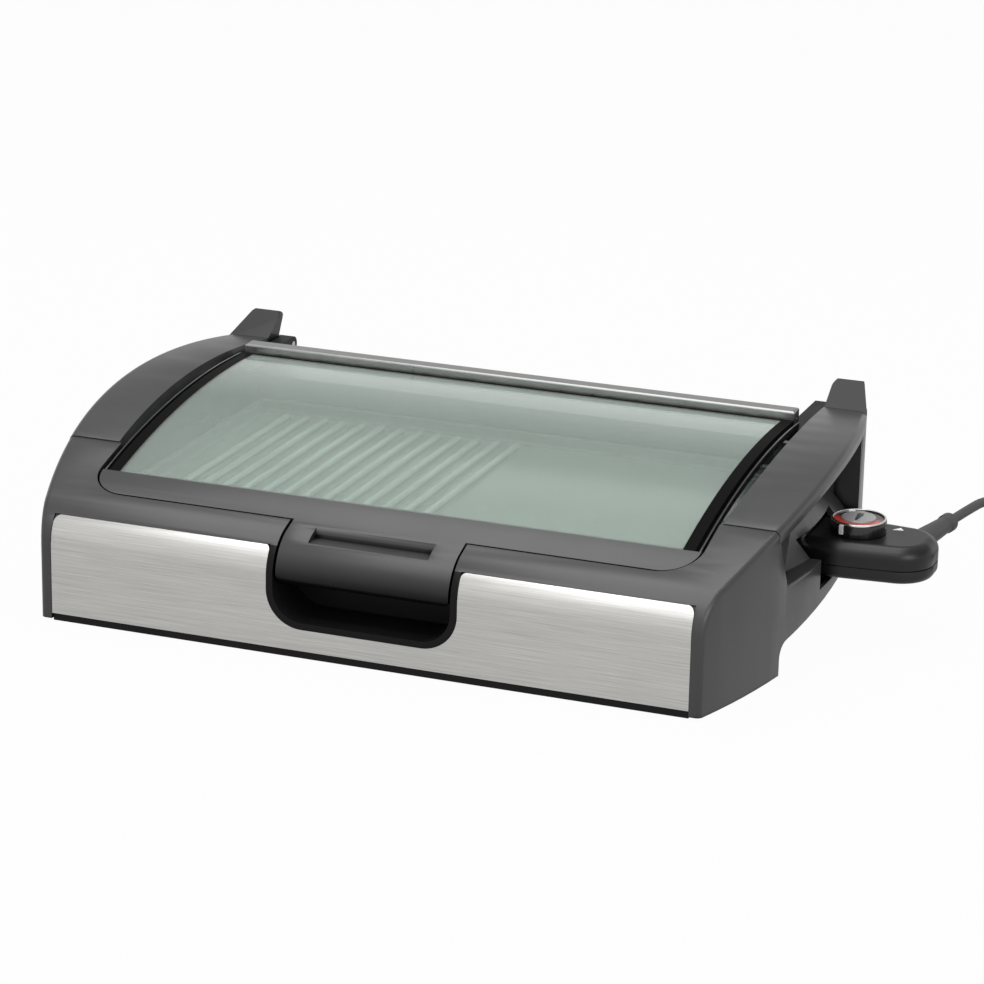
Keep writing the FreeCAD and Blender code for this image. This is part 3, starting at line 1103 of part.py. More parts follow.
def knob_pieces():
    """Knob body with its bezel, dial ring, cap, side marker and shaft."""
    face_z = KNOB_TOP_Z - BEZEL_H
    body = rod(KNOB_R, knob_axis(KNOB_LOW_Z), knob_axis(face_z))
    body = body.cut(rod(KNOB_R - KNOB_WALL, knob_axis(KNOB_LOW_Z), knob_axis(face_z - KNOB_WALL)))
    body = joined(body, [rod(HUB_R, knob_axis(KNOB_LOW_Z), knob_axis(face_z))])
    shaft_top = face_z - KNOB_WALL / 2
    shaft = rod(SHAFT_R, knob_axis(CONTROL_LOW_Z + CONTROL_WALL + SWITCH_H + FIT_GAP), knob_axis(shaft_top))
    marker = marker_form()
    dial_low = face_z - DIAL_T / 2
    dial = rod(DIAL_R, knob_axis(dial_low), knob_axis(dial_low + DIAL_T))
    dial = dial.cut(rod(DIAL_IN_R, knob_axis(0), knob_axis(HIGH)))
    body = body.cut([rod(SHAFT_R, knob_axis(0), knob_axis(shaft_top)), marker, dial])
    bezel = rod(KNOB_R - BEZEL_W / 4, knob_axis(face_z), knob_axis(KNOB_TOP_Z))
    bezel = bezel.cut(rod(DIAL_R, knob_axis(0), knob_axis(HIGH)))
    cap = rod(DIAL_IN_R, knob_axis(face_z), knob_axis(face_z + CAP_T))
    rims = [edge for edge in cap.Edges if edge.Closed and edge.BoundBox.ZMin > face_z + CAP_T / 2]
    cap = cap.makeFillet(CAP_T / 2, rims)
    return {"knob": body, "knob_shaft": shaft, "knob_marker": marker, "dial_ring": dial, "knob_bezel": bezel,
            "knob_cap": cap}


# Mains lead: free stretch, put-away coil, tie and plug
def cord_points():
    start, way = relief_ends()
    first = start + way * RELIEF_LENGTH
    floor = coil_low_z()
    end = V(CONTROL_OUT_X, INLET_Y, 0)
    return [first, first + way * 34, end + V(0, 162, 62), end + V(8, 196, 45), end + V(23, 224, 24),
            end + V(46, 244, 9), V(COIL_X - 30, COIL_START_Y, floor), V(COIL_X, COIL_START_Y, floor)]


def coil_low_z():
    return TABLE_Z + FLOOR_GAP + TIE_T + COIL_TIE_GAP + CORD_R


def cord_bends(points):
    """Bend radii, each as large as its two runs allow."""
    radii = []
    for index in range(1, len(points) - 1):
        back = points[index - 1] - points[index]
        ahead = points[index + 1] - points[index]
        half = back.getAngle(ahead) / 2
        radii.append(0.45 * min(back.Length, ahead.Length) * math.tan(half))
    return radii


def power_cord():
    points = cord_points()
    radii = cord_bends(points)
    print("cord bend radii", [round(radius, 1) for radius in radii])
    solid = tube(points, radii, CORD_R)
    length = cord_length(points, radii)
    section = math.pi * CORD_R ** 2
    print("cord length", round(length, 1), "volume ratio", round(solid.Volume / (section * length), 4))
    return solid


def cord_length(points, radii):
    length = sum((points[index + 1] - points[index]).Length for index in range(len(points) - 1))
    for index in range(1, len(points) - 1):
        back = points[index - 1] - points[index]
        ahead = points[index + 1] - points[index]
        half = back.getAngle(ahead) / 2
        turn = math.pi - 2 * half
        length += radii[index - 1] * turn - 2 * radii[index - 1] / math.tan(half)
    return length


def coil_edges():
    """Half turns that spiral in on the floor, climb a layer and spiral out again."""
    pitch = 2 * CORD_R + COIL_GAP
    rise = pitch
    outer = COIL_MEAN_R + pitch
    radii = [outer - index * pitch / 2 for index in range(COIL_HALF_TURNS + 1)]
    radii = radii + radii[-2:0:-1]
    edges = []
    low = coil_low_z()
    here = V(COIL_X, COIL_START_Y, low)
    lead = 2 * CORD_R
    edges.append(Part.LineSegment(here, here + V(lead, 0, 0)).toShape())
    here = here + V(lead, 0, 0)
    length = lead
    for index, radius in enumerate(radii):
        turn = -1 if index % 2 == 0 else 1
        climb = rise if index == COIL_HALF_TURNS else 0.0
        end = here + V(0, 2 * radius * turn, climb)
        sweep = (end - here).Length / 2
        middle = (here + end) * 0.5 - V(sweep * turn, 0, 0)
        edges.append(Part.Arc(here, middle, end).toShape())
        length += math.pi * sweep
        here = end
    tail = here + V(COIL_TAIL, 0, 0)
    edges.append(Part.LineSegment(here, tail).toShape())
    return edges, tail, length + COIL_TAIL


def coil_gap(edges):
    """Least gap of the coil to itself, measured between points along its middle line."""
    points = []
    travelled = 0.0
    for edge in edges:
        steps = max(2, int(edge.Length / 2.0))
        for step in range(steps):
            share = edge.FirstParameter + (edge.LastParameter - edge.FirstParameter) * step / steps
            points.append((travelled + edge.Length * step / steps, edge.valueAt(share)))
        travelled += edge.Length
    least = 1e9
    for index, (here, point) in enumerate(points):
        for there, other in points[index + 1:]:
            if there - here > 12 * CORD_R:
                least = min(least, (other - point).Length)
    return least - 2 * CORD_R


def cord_coil():
    edges, end, length = coil_edges()
    print("coil length", round(length, 1), "least gap to itself", round(coil_gap(edges), 2))
    return swept(edges, CORD_R)


def cord_tie():
    """Flat band round all turns at the front of the coil."""
    pitch = 2 * CORD_R + COIL_GAP
    outer = COIL_MEAN_R + pitch
    centre_y = COIL_START_Y - outer
    centre_x = COIL_X + 2 * CORD_R
    reach = CORD_R + COIL_TIE_GAP
    y0 = centre_y - outer - reach
    y1 = centre_y - outer + pitch * COIL_HALF_TURNS / 2 + reach
    z0 = coil_low_z() - reach
    z1 = coil_low_z() + pitch * (COIL_LAYERS - 1) + reach
    band = box(centre_x - TIE_W / 2, centre_x + TIE_W / 2, y0 - TIE_T, y1 + TIE_T, z0 - TIE_T, z1 + TIE_T)
    return band.cut(box(centre_x - TIE_W, centre_x + TIE_W, y0, y1, z0, z1))


def plug_pieces():
    """Angled plug lying on its back, with the cord's boot on its side and the pins up."""
    edges, end, length = coil_edges()
    way = V(1, 0, 0)
    middle = end + way * (PLUG_BOOT_LENGTH + PLUG_R)
    low = TABLE_Z + FLOOR_GAP
    disc = rod(PLUG_R, V(middle.x, middle.y, low), V(middle.x, middle.y, low + PLUG_H))
    disc = disc.makeFillet(PLUG_EDGE_R, [edge for edge in disc.Edges if edge.Closed])
    boot = Part.makeCone(PLUG_BOOT_R * 0.75, PLUG_BOOT_R, PLUG_BOOT_LENGTH + PLUG_R, end, way)
    body = joined(disc, [boot])
    pins = []
    for side in (-0.5, 0.5):
        foot = V(middle.x, middle.y + side * PLUG_PIN_SPREAD, low + PLUG_H)
        pin = rod(PLUG_PIN_R, foot, foot + V(0, 0, PLUG_PIN_LENGTH))
        tip = [edge for edge in pin.Edges if edge.Closed and edge.BoundBox.ZMin > foot.z + 1]
        pins.append(pin.makeFillet(PLUG_PIN_R * 0.4, tip))
    return body, Part.makeCompound(pins)


def build():
    form = casing_form()
    right = rail(form)
    upper, lower = control_shells()
    plug_body, plug_pins = plug_pieces()
    arm = hinge_arm()
    bar = lid_bar()
    nodes = {
        "outer_casing": outer_casing(form),
        "left_rail": mirrored(right),
        "right_rail": right.cut(control_opening()),
        "front_panel": front_panel(),
        "grip_pocket": grip_pocket(),
        "base_pan": base_pan(),
        "heat_reflector": heat_reflector(),
        "drip_tray": drip_tray(),
        "grill_plate": grill_plate(),
        "heating_element": heating_element(),
        "element_clips": element_clips(),
        "sensor_tube": sensor_tube(),
        "terminal_shroud": terminal_shroud(),
        "contact_pins": contact_pins(),
        "rubber_feet": rubber_feet(),
        "casing_screws": casing_screws(),
        "hinge_pins": hinge_pins(),
        "lid_glass": lid_glass(),
        "lid_apron": lid_apron(),
        "left_lid_bar": mirrored(bar),
        "right_lid_bar": bar,
        "lid_rear_rail": lid_rear_rail(),
        "left_hinge_arm": mirrored(arm),
        "right_hinge_arm": arm,
        "lid_screws": lid_screws(),
        "control_upper_shell": upper,
        "control_lower_shell": lower,
        "contact_block": contact_block(),
        "contact_sleeves": contact_sleeves(),
        "sensor_probe": sensor_probe(),
        "thermostat_switch": thermostat_switch(),
        "control_screws": control_screws(),
        "pointer_mark": pointer_mark(),
        "cord_relief": cord_relief(),
        "power_cord": power_cord(),
        "cord_coil": cord_coil(),
        "cord_tie": cord_tie(),
        "mains_plug_body": plug_body,
        "mains_plug_pins": plug_pins,
    }
    nodes.update(knob_pieces())
    return nodes


def main():
    os.makedirs("parts", exist_ok=True)
    for name, shape in build().items():
        placed = shape.translated(V(-MID_X, -MID_Y, -TABLE_Z))
        placed.exportStep("parts/" + name + ".step")
        print(name, len(placed.Solids), placed.isValid(), round(placed.Volume))
    print("origin shift", round(MID_X, 3), round(MID_Y, 3), round(TABLE_Z, 3))


main()
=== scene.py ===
import math

import bmesh
import bpy
from bpy.props import FloatProperty, FloatVectorProperty, IntProperty, PointerProperty
from mathutils import Matrix, Vector


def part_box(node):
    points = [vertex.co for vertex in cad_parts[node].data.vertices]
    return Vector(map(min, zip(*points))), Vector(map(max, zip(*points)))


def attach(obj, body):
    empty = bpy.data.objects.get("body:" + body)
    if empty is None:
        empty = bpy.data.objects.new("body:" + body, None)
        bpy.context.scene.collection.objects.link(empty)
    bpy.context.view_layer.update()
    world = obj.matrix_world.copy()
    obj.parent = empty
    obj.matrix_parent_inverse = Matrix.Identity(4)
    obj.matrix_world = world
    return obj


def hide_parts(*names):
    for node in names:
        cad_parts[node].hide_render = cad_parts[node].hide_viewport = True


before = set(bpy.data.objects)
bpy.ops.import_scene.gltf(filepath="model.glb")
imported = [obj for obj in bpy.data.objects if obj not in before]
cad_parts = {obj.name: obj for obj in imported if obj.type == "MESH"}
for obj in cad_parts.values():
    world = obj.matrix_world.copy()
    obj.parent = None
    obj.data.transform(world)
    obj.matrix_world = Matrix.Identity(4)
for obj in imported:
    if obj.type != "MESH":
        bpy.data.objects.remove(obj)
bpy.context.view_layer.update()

bl_info = {
    "name": "Table Grill Looks",
    "version": (1, 0, 0),
    "blender": (4, 5, 0),
    "location": "View3D > Sidebar > Grill",
    "description": "Finishes, mains lead and studio for a table grill with a hinged glass lid",
    "category": "Object",
}

# Solids that share a finish
RAILS = ("left_rail", "right_rail")
BLACK_MOULDINGS = ("grip_pocket", "base_pan", "left_hinge_arm", "right_hinge_arm")
INNER_MOULDINGS = ("terminal_shroud", "thermostat_switch")
CONTROL_MOULDINGS = ("control_upper_shell", "control_lower_shell", "contact_block")
LID_BARS = ("left_lid_bar", "right_lid_bar")
BRIGHT_SHEETS = ("heat_reflector", "drip_tray")
FASTENERS = ("casing_screws", "lid_screws", "control_screws", "hinge_pins", "knob_shaft")
HEATER = ("heating_element", "element_clips", "sensor_tube", "sensor_probe")
CONTACTS = ("contact_pins", "contact_sleeves", "mains_plug_pins")
LEAD_MOULDINGS = ("cord_relief", "cord_tie", "mains_plug_body")

# Free stretch of the mains lead, from its sleeve to the coil, in metres in the shared frame
LEAD_ROUTE = (
    (0.319111, 0.112997, 0.0670), (0.325015, 0.146481, 0.0670), (0.33065, 0.1860, 0.0645),
    (0.33865, 0.2200, 0.0475), (0.35365, 0.2480, 0.0265), (0.37665, 0.2680, 0.0115),
    (0.40665, 0.2780, 0.00575))
COIL_START = (0.43665, 0.2780, 0.00575)

# Soft edges
WELD_DISTANCE = 0.000005
EDGE_ANGLE = math.radians(32)
EDGE_SEGMENTS = 3

# Materials: middle range of a noise, painted shade in seams, and the Mix node's sockets in its colour mode
NOISE_LOW = 0.3
NOISE_HIGH = 0.7
# Colour that the painted shade in seams runs towards
SEAM_SHADE_COLOUR = (0.001, 0.001, 0.001)
SEAM_SAMPLES = 8
# Gain of the painted highlight on the plate's rib tops
RIB_HIGHLIGHT_GAIN = 2.6
LACQUER_COAT = 0.4
GLASS_TRANSMISSION = 0.9
GLASS_IOR = 1.6
MIX_AMOUNT = 0
MIX_FIRST = 6
MIX_SECOND = 7
MIX_COLOUR = 2

# Studio: floor as the camera and gloss see it, and greys of the backdrop by the height of a direction
WHITE = (1.0, 1.0, 1.0, 1.0)
PAPER_COLOUR = (0.40, 0.40, 0.40, 1.0)
PAPER_SEEN = 0.97
PAPER_MIRRORED = 0.5
BACKDROP_GREYS = ((0.2, 0.95), (0.46, 0.32), (0.58, 0.42), (0.76, 0.6))
BACKDROP_FRONT = -0.35
FLOOR_REACH = 14.0
SENSOR_WIDTH = 36.0


def colour_property(title, about, default):
    return FloatVectorProperty(name=title, description=about, subtype="COLOR", size=3, min=0.0, max=1.0,
                               default=default)


def length_property(title, about, default):
    return FloatProperty(name=title, description=about, subtype="DISTANCE", unit="LENGTH", default=default)


def share_property(title, about, default):
    return FloatProperty(name=title, description=about, min=0.0, max=1.0, default=default)


def angle_property(title, about, default):
    return FloatProperty(name=title, description=about, subtype="ANGLE", default=default)


class GrillColours(bpy.types.PropertyGroup):
    """Base colours of the grill's finishes."""

    casing: colour_property("Casing", "Dark grey moulded casing, rails and lid apron", (0.037, 0.037, 0.0375))
    black: colour_property("Black mouldings", "Finger well, tub and hinge arms", (0.0035, 0.0035, 0.0035))
    inner: colour_property("Inner mouldings", "Terminal shroud and switch", (0.035, 0.030, 0.026))
    control: colour_property("Control", "Thermostat housing and knob", (0.005, 0.005, 0.005))
    steel: colour_property("Steel", "Brushed front panel", (0.55, 0.545, 0.527))
    glass: colour_property("Glass", "Green tint of the lid glass", (0.78, 0.88, 0.82))
    # Painted shade: black border on the glass's sides and rear, standing in for the shade of the rails' inner
    # walls and gaps
    shade_paint: colour_property("Enamel", "Black border on the lid glass", (0.003, 0.003, 0.003))
    plate: colour_property("Plate", "Non-stick coat of the grill plate", (0.075, 0.077, 0.075))
    bright_sheet: colour_property("Bright sheet", "Reflector and drip tray", (0.62, 0.62, 0.63))
    heater: colour_property("Heater", "Sheath of the heater and sensor", (0.20, 0.19, 0.18))
    contact: colour_property("Contacts", "Contact pins and sleeves", (0.62, 0.52, 0.30))
    lid_metal: colour_property("Lid metal", "Rear rail of the lid", (0.32, 0.325, 0.32))
    lid_bar: colour_property("Lid bars", "Black side bars of the lid", (0.006, 0.006, 0.006))
    dial: colour_property("Dial", "Red ring of the knob", (0.50, 0.055, 0.035))
    bezel: colour_property("Bezel", "Bright bezel of the knob", (0.75, 0.75, 0.75))
    silver: colour_property("Silver", "Painted cap of the knob", (0.24, 0.24, 0.24))
    print_white: colour_property("Marks", "Pale marks on the control", (0.72, 0.72, 0.70))
    zinc: colour_property("Zinc", "Plated screws and pins", (0.5, 0.5, 0.5))
    foot: colour_property("Feet", "Rubber of the feet", (0.02, 0.02, 0.02))
    lead: colour_property("Lead", "Rubber of the mains lead", (0.045, 0.045, 0.044))


class GrillRoughness(bpy.types.PropertyGroup):
    """Mean roughness of the grill's finishes."""

    casing: share_property("Casing", "Dark grey moulded casing, rails and lid apron", 0.33)
    black: share_property("Black mouldings", "Finger well, base tub and hinge arms", 0.5)
    inner: share_property("Inner mouldings", "Terminal shroud and switch", 0.55)
    control: share_property("Control", "Thermostat housing", 0.33)
    steel: share_property("Steel", "Brushed front panel", 0.34)
    # Painted shade border on the lid glass
    shade_paint: share_property("Enamel", "Black border on the lid glass", 0.5)
    plate: share_property("Plate", "Non-stick coat of the grill plate", 0.2)
    bright_sheet: share_property("Bright sheet", "Reflector and drip tray", 0.3)
    heater: share_property("Heater", "Sheath of the heater and sensor", 0.45)
    contact: share_property("Contacts", "Contact pins and sleeves", 0.22)
    lid_metal: share_property("Lid metal", "Rear rail of the lid", 0.34)
    lid_bar: share_property("Lid bars", "Black side bars of the lid", 0.3)
    knob: share_property("Knob", "Body of the knob", 0.25)
    bezel: share_property("Bezel", "Bright bezel of the knob", 0.12)
    cap: share_property("Cap", "Cap of the knob and its pointer", 0.3)
    marker: share_property("Marker", "Pale mark on the knob", 0.35)
    pointer_mark: share_property("Pointer mark", "Pale mark on the control", 0.4)
    zinc: share_property("Zinc", "Plated screws and pins", 0.3)


class GrillSurface(bpy.types.PropertyGroup):
    """Grain, painted shade, painted highlight and edge sizes of the finishes."""

    casing_grain: length_property("Casing grain", "Size of the moulded grain", 0.0007)
    brush_length: length_property("Brush length", "Length of a brush mark on the steel", 0.060)
    brush_width: length_property("Brush width", "Width of a brush mark on the steel", 0.0005)
    # Painted shade: reach of the darkening of colour and gloss in seams, which stands in for shade rather
    # than dirt
    seam_shade_reach: length_property("Crevice", "Reach of the dirt and shade in seams", 0.008)
    # Painted shade: width of the black border on the glass
    glass_border: length_property("Glass border", "Black enamel along the sides of the glass", 0.009)
    # Plate sizes that place the box of the painted highlight on the rib tops
    rim_above_plate: length_property("Plate rim", "Height of the plate's rim over its floor", 0.009)
    rib_inset: length_property("Rib inset", "From the plate's edge to its ribs", 0.014)
    rib_height: length_property("Rib height", "Height of the plate's ribs", 0.004)
    # Painted shade under the hand flap: heights of its darkest strip and of its top
    flap_lip: length_property("Flap lip", "Height of the darkest strip of the hand flap", 0.004)
    flap_shade: length_property("Flap shade", "Height of the shade under the hand flap", 0.026)
    # Painted shade: the hinge ears keep only part of their colour and gloss, standing in for the shade on
    # their front faces
    ear_length: length_property("Ear length", "Reach of the dim hinge ears from the rear", 0.0325)
    ear_shade: share_property("Ear shade", "Share of colour and gloss left on the hinge ears", 0.5)
    # Painted shade round the finger well: a box that keeps only part of the colour and gloss, standing in for
    # the shade there
    well_shade_width: length_property("Well rim", "Width of the black rim round the finger well", 0.006)
    well_shade: share_property("Well shade", "Share of colour and gloss left round the finger well", 0.2)
    black_gloss: share_property("Black gloss", "Specular level of the black mouldings", 0.2)
    control_gloss: share_property("Control gloss", "Specular level of the control", 0.4)
    # Painted shade border on the lid glass
    shade_paint_gloss: share_property("Enamel gloss", "Specular level of the enamel border", 0.03)
    dial_blend: length_property("Dial blend", "Half the width of the change of colour on the dial", 0.004)
    pointer_length: length_property("Pointer length", "From the cap's middle to the pointer's tip", 0.0085)
    pointer_width: length_property("Pointer width", "Half the width of the pointer", 0.0024)
    pointer_height: length_property("Pointer height", "Height of the pointer over the cap", 0.0005)
    casing_edge: length_property("Casing edge", "Softening of the casing's edges", 0.0008)
    small_edge: length_property("Small edge", "Softening of small mouldings", 0.0005)
    thin_edge: length_property("Thin edge", "Rounding of sheet and trim edges", 0.0003)
    foot_edge: length_property("Foot edge", "Softening of the rubber feet", 0.0008)


class GrillLead(bpy.types.PropertyGroup):
    """Mains lead and its put-away coil."""

    diameter: length_property("Diameter", "Diameter of the lead", 0.0075)
    coil_mean: length_property("Coil radius", "Mean radius of the coil's turns", 0.0445)
    coil_gap: length_property("Coil gap", "Gap between turns", 0.0006)
    coil_tail: length_property("Tail", "Straight end from the coil to the plug", 0.0225)
    half_turns: IntProperty(name="Half turns", description="Half turns from the outside in", default=4, min=2)
    turn_points: IntProperty(name="Points", description="Curve points in each half turn", default=12, min=6)


class GrillStudio(bpy.types.PropertyGroup):
    """Camera and light."""

    azimuth: angle_property("Azimuth", "Camera's turn to the right", 0.36155)
    elevation: angle_property("Elevation", "Camera's height angle", 0.31417)
    roll: angle_property("Roll", "Camera's roll", 0.01904)
    distance: length_property("Distance", "From the camera to the point it looks at", 2.582)
    lens: FloatProperty(name="Lens", description="Focal length in millimetres", default=130.33)
    look_at: FloatVectorProperty(name="Look at", description="Point in the middle of the picture",
                                 subtype="TRANSLATION", size=3, default=(0.03612, -0.12791, 0.12427))
    sky: FloatProperty(name="Sky", description="Even light from all round", default=0.68)
    key: FloatProperty(name="Key", description="Power of the overhead panel in watts", default=30.0)
    side: FloatProperty(name="Side", description="Power of the side panel in watts", default=9.0)
    front: FloatProperty(name="Front", description="Power of the high front panel in watts", default=6.0)


# Node helpers
def start_material(name):
    material = bpy.data.materials.new(name)
    material.use_nodes = True
    tree = material.node_tree
    return material, tree, tree.nodes["Principled BSDF"]


def object_noise(tree, scale, detail, rough=0.5):
    """Noise in the object's own metres; scale is a number or three numbers per metre."""
    place = tree.nodes.new("ShaderNodeTexCoord")
    noise = tree.nodes.new("ShaderNodeTexNoise")
    noise.inputs["Detail"].default_value = detail
    noise.inputs["Roughness"].default_value = rough
    if isinstance(scale, (int, float)):
        noise.inputs["Scale"].default_value = scale
        tree.links.new(place.outputs["Object"], noise.inputs["Vector"])
        return noise.outputs["Fac"]
    mapping = tree.nodes.new("ShaderNodeMapping")
    mapping.inputs["Scale"].default_value = scale
    noise.inputs["Scale"].default_value = 1.0
    tree.links.new(place.outputs["Object"], mapping.inputs["Vector"])
    tree.links.new(mapping.outputs["Vector"], noise.inputs["Vector"])
    return noise.outputs["Fac"]


def map_range(tree, value, start, end, low=0.0, high=1.0):
    """A value's stretch from start to end, laid out between low and high."""
    node = tree.nodes.new("ShaderNodeMapRange")
    node.inputs["From Min"].default_value = start
    node.inputs["From Max"].default_value = end
    node.inputs["To Min"].default_value = low
    node.inputs["To Max"].default_value = high
    tree.links.new(value, node.inputs["Value"])
    return node.outputs["Result"]


def spread(tree, noise, low, high):
    """The noise's middle range spread between two values."""
    return map_range(tree, noise, NOISE_LOW, NOISE_HIGH, low, high)


def tinted(tree, noise, colour, amount):
    """Colour that varies by an amount with a noise."""
    ramp = tree.nodes.new("ShaderNodeValToRGB")
    first, last = ramp.color_ramp.elements
    first.position = NOISE_LOW
    last.position = NOISE_HIGH
    first.color = [channel * (1 - amount) for channel in colour] + [1.0]
    last.color = [min(1.0, channel * (1 + amount)) for channel in colour] + [1.0]
    tree.links.new(noise, ramp.inputs["Fac"])
    return ramp.outputs["Color"]


def add_bump(tree, shader, height, strength, distance):
    bump = tree.nodes.new("ShaderNodeBump")
    bump.inputs["Strength"].default_value = strength
    bump.inputs["Distance"].default_value = distance
    tree.links.new(height, bump.inputs["Height"])
    tree.links.new(bump.outputs["Normal"], shader.inputs["Normal"])


def object_axes(tree):
    place = tree.nodes.new("ShaderNodeTexCoord")
    axes = tree.nodes.new("ShaderNodeSeparateXYZ")
    tree.links.new(place.outputs["Object"], axes.inputs["Vector"])
    return axes


def reckon(tree, operation, first, second):
    """One step of arithmetic on two sockets, or on a socket and a number."""
    node = tree.nodes.new("ShaderNodeMath")
    node.operation = operation
    tree.links.new(first, node.inputs[0])
    if isinstance(second, (int, float)):
        node.inputs[1].default_value = second
    else:
        tree.links.new(second, node.inputs[1])
    return node.outputs["Value"]


def seam_shade(tree, reach):
    """Painted shade: one in the open, near zero where the surface runs into a seam."""
    shade = tree.nodes.new("ShaderNodeAmbientOcclusion")
    shade.samples = SEAM_SAMPLES
    shade.inputs["Distance"].default_value = reach
    return map_range(tree, shade.outputs["AO"], start=0.3, end=0.8, low=0.03)


def height_shade(tree, start, end):
    """Painted shade: near zero below a height, rising to one at another."""
    return map_range(tree, object_axes(tree).outputs["Z"], start, end, low=0.1)


def outside_box(tree, low, high):
    """Zero inside a box and one outside it."""
    axes = object_axes(tree)
    outside = None
    for axis, name in enumerate("XYZ"):
        aside = reckon(tree, "SUBTRACT", axes.outputs[name], (low[axis] + high[axis]) / 2)
        away = reckon(tree, "ABSOLUTE", aside, 0.0)
        mark = reckon(tree, "GREATER_THAN", away, (high[axis] - low[axis]) / 2)
        outside = reckon(tree, "MAXIMUM", outside, mark) if outside else mark
    return outside


def dim_in_box(tree, low, high, inside):
    """Painted shade: a given share inside a box and one outside it."""
    return reckon(tree, "ADD", reckon(tree, "MULTIPLY", outside_box(tree, low, high), 1 - inside), inside)


def colour_mix(tree, amount, first, second):
    """Between a plain colour and a colour socket."""
    mix = tree.nodes.new("ShaderNodeMix")
    mix.data_type = "RGBA"
    mix.inputs[MIX_FIRST].default_value = (*first, 1.0)
    tree.links.new(amount, mix.inputs[MIX_AMOUNT])
    tree.links.new(second, mix.inputs[MIX_SECOND])
    return mix.outputs[MIX_COLOUR]


# Materials
def moulded_plastic(name, colour, roughness, grain, gloss=0.5, seam_shade_reach=0.0, dim=None, fade=None):
    """Satin plastic with a fine moulded grain, darkened by painted shade in its seams, in a box or towards
    its foot.
    """
    material, tree, shader = start_material(name)
    fine = object_noise(tree, scale=1.0 / grain, detail=2.0)
    broad = object_noise(tree, scale=22.0, detail=4.0, rough=0.6)
    body = tinted(tree, broad, colour, amount=0.05)
    shader.inputs["Specular IOR Level"].default_value = gloss
    # Painted shade: colour and gloss darkened by ambient occlusion in seams, and optionally in a box and
    # towards the foot
    if seam_shade_reach:
        shade = seam_shade(tree, seam_shade_reach)
        if dim:
            shade = reckon(tree, "MULTIPLY", shade, dim_in_box(tree, *dim))
        if fade:
            shade = reckon(tree, "MULTIPLY", shade, height_shade(tree, *fade))
        body = colour_mix(tree, shade, SEAM_SHADE_COLOUR, body)
        tree.links.new(reckon(tree, "MULTIPLY", shade, gloss), shader.inputs["Specular IOR Level"])
    tree.links.new(body, shader.inputs["Base Color"])
    tree.links.new(spread(tree, broad, roughness - 0.03, roughness + 0.04), shader.inputs["Roughness"])
    add_bump(tree, shader, fine, strength=0.25, distance=0.00005)
    return material


def brushed_metal(name, colour, roughness, length, width):
    """Metal with long brush marks along X."""
    material, tree, shader = start_material(name)
    shader.inputs["Metallic"].default_value = 1.0
    fine = object_noise(tree, scale=(1.0 / length, 1.0 / width, 1.0 / width), detail=6.0, rough=0.7)
    broad = object_noise(tree, scale=(3.0, 160.0, 160.0), detail=3.0, rough=0.6)
    tree.links.new(tinted(tree, fine, colour, amount=0.22), shader.inputs["Base Color"])
    tree.links.new(spread(tree, broad, roughness - 0.05, roughness + 0.06), shader.inputs["Roughness"])
    add_bump(tree, shader, fine, strength=0.3, distance=0.00004)
    return material


def plain_metal(name, colour, roughness):
    """Drawn or plated metal with a slight mottle."""
    material, tree, shader = start_material(name)
    shader.inputs["Metallic"].default_value = 1.0
    mottle = object_noise(tree, scale=120.0, detail=4.0, rough=0.6)
    tree.links.new(tinted(tree, mottle, colour, amount=0.06), shader.inputs["Base Color"])
    tree.links.new(spread(tree, mottle, roughness * 0.8, roughness * 1.2), shader.inputs["Roughness"])
    add_bump(tree, shader, mottle, strength=0.05, distance=0.0001)
    return material


def coated_metal(name, colour, roughness, low, high):
    """Non-stick coat with fine speckle, and a painted highlight that makes it paler inside a box that holds
    the rib tops.
    """
    material, tree, shader = start_material(name)
    speckle = object_noise(tree, scale=900.0, detail=2.0)
    body = tinted(tree, speckle, colour, amount=0.12)
    rib_highlight = [channel * RIB_HIGHLIGHT_GAIN for channel in colour]
    tree.links.new(colour_mix(tree, outside_box(tree, low, high), rib_highlight, body), shader.inputs["Base Color"])
    tree.links.new(spread(tree, speckle, roughness - 0.01, roughness + 0.01), shader.inputs["Roughness"])
    add_bump(tree, shader, speckle, strength=0.05, distance=0.00003)
    return material


def gloss_paint(name, colour, roughness):
    """Glossy lacquer with a faint orange peel."""
    material, tree, shader = start_material(name)
    peel = object_noise(tree, scale=700.0, detail=2.0)
    shader.inputs["Coat Weight"].default_value = LACQUER_COAT
    tree.links.new(tinted(tree, peel, colour, amount=0.05), shader.inputs["Base Color"])
    tree.links.new(spread(tree, peel, roughness * 0.85, roughness * 1.15), shader.inputs["Roughness"])
    add_bump(tree, shader, peel, strength=0.04, distance=0.00004)
    return material


def dial_paint(name, colour, rest, middle, blend):
    """Dial ring: red heat scale on the half towards the front, another colour on the rest."""
    material, tree, shader = start_material(name)
    mix = tree.nodes.new("ShaderNodeMix")
    mix.data_type = "RGBA"
    mix.inputs[MIX_FIRST].default_value = (*colour, 1.0)
    mix.inputs[MIX_SECOND].default_value = (*rest, 1.0)
    behind = map_range(tree, object_axes(tree).outputs["Y"], middle - blend, middle + blend)
    peel = object_noise(tree, scale=700.0, detail=2.0)
    tree.links.new(behind, mix.inputs[MIX_AMOUNT])
    tree.links.new(mix.outputs[MIX_COLOUR], shader.inputs["Base Color"])
    tree.links.new(spread(tree, peel, low=0.2, high=0.28), shader.inputs["Roughness"])
    shader.inputs["Coat Weight"].default_value = LACQUER_COAT
    return material


def rubber(name, colour):
    """Matte rubber with a dusty grain."""
    material, tree, shader = start_material(name)
    grain = object_noise(tree, scale=1600.0, detail=3.0)
    broad = object_noise(tree, scale=45.0, detail=3.0)
    tree.links.new(tinted(tree, broad, colour, amount=0.12), shader.inputs["Base Color"])
    tree.links.new(spread(tree, broad, low=0.52, high=0.66), shader.inputs["Roughness"])
    add_bump(tree, shader, grain, strength=0.2, distance=0.00005)
    return material


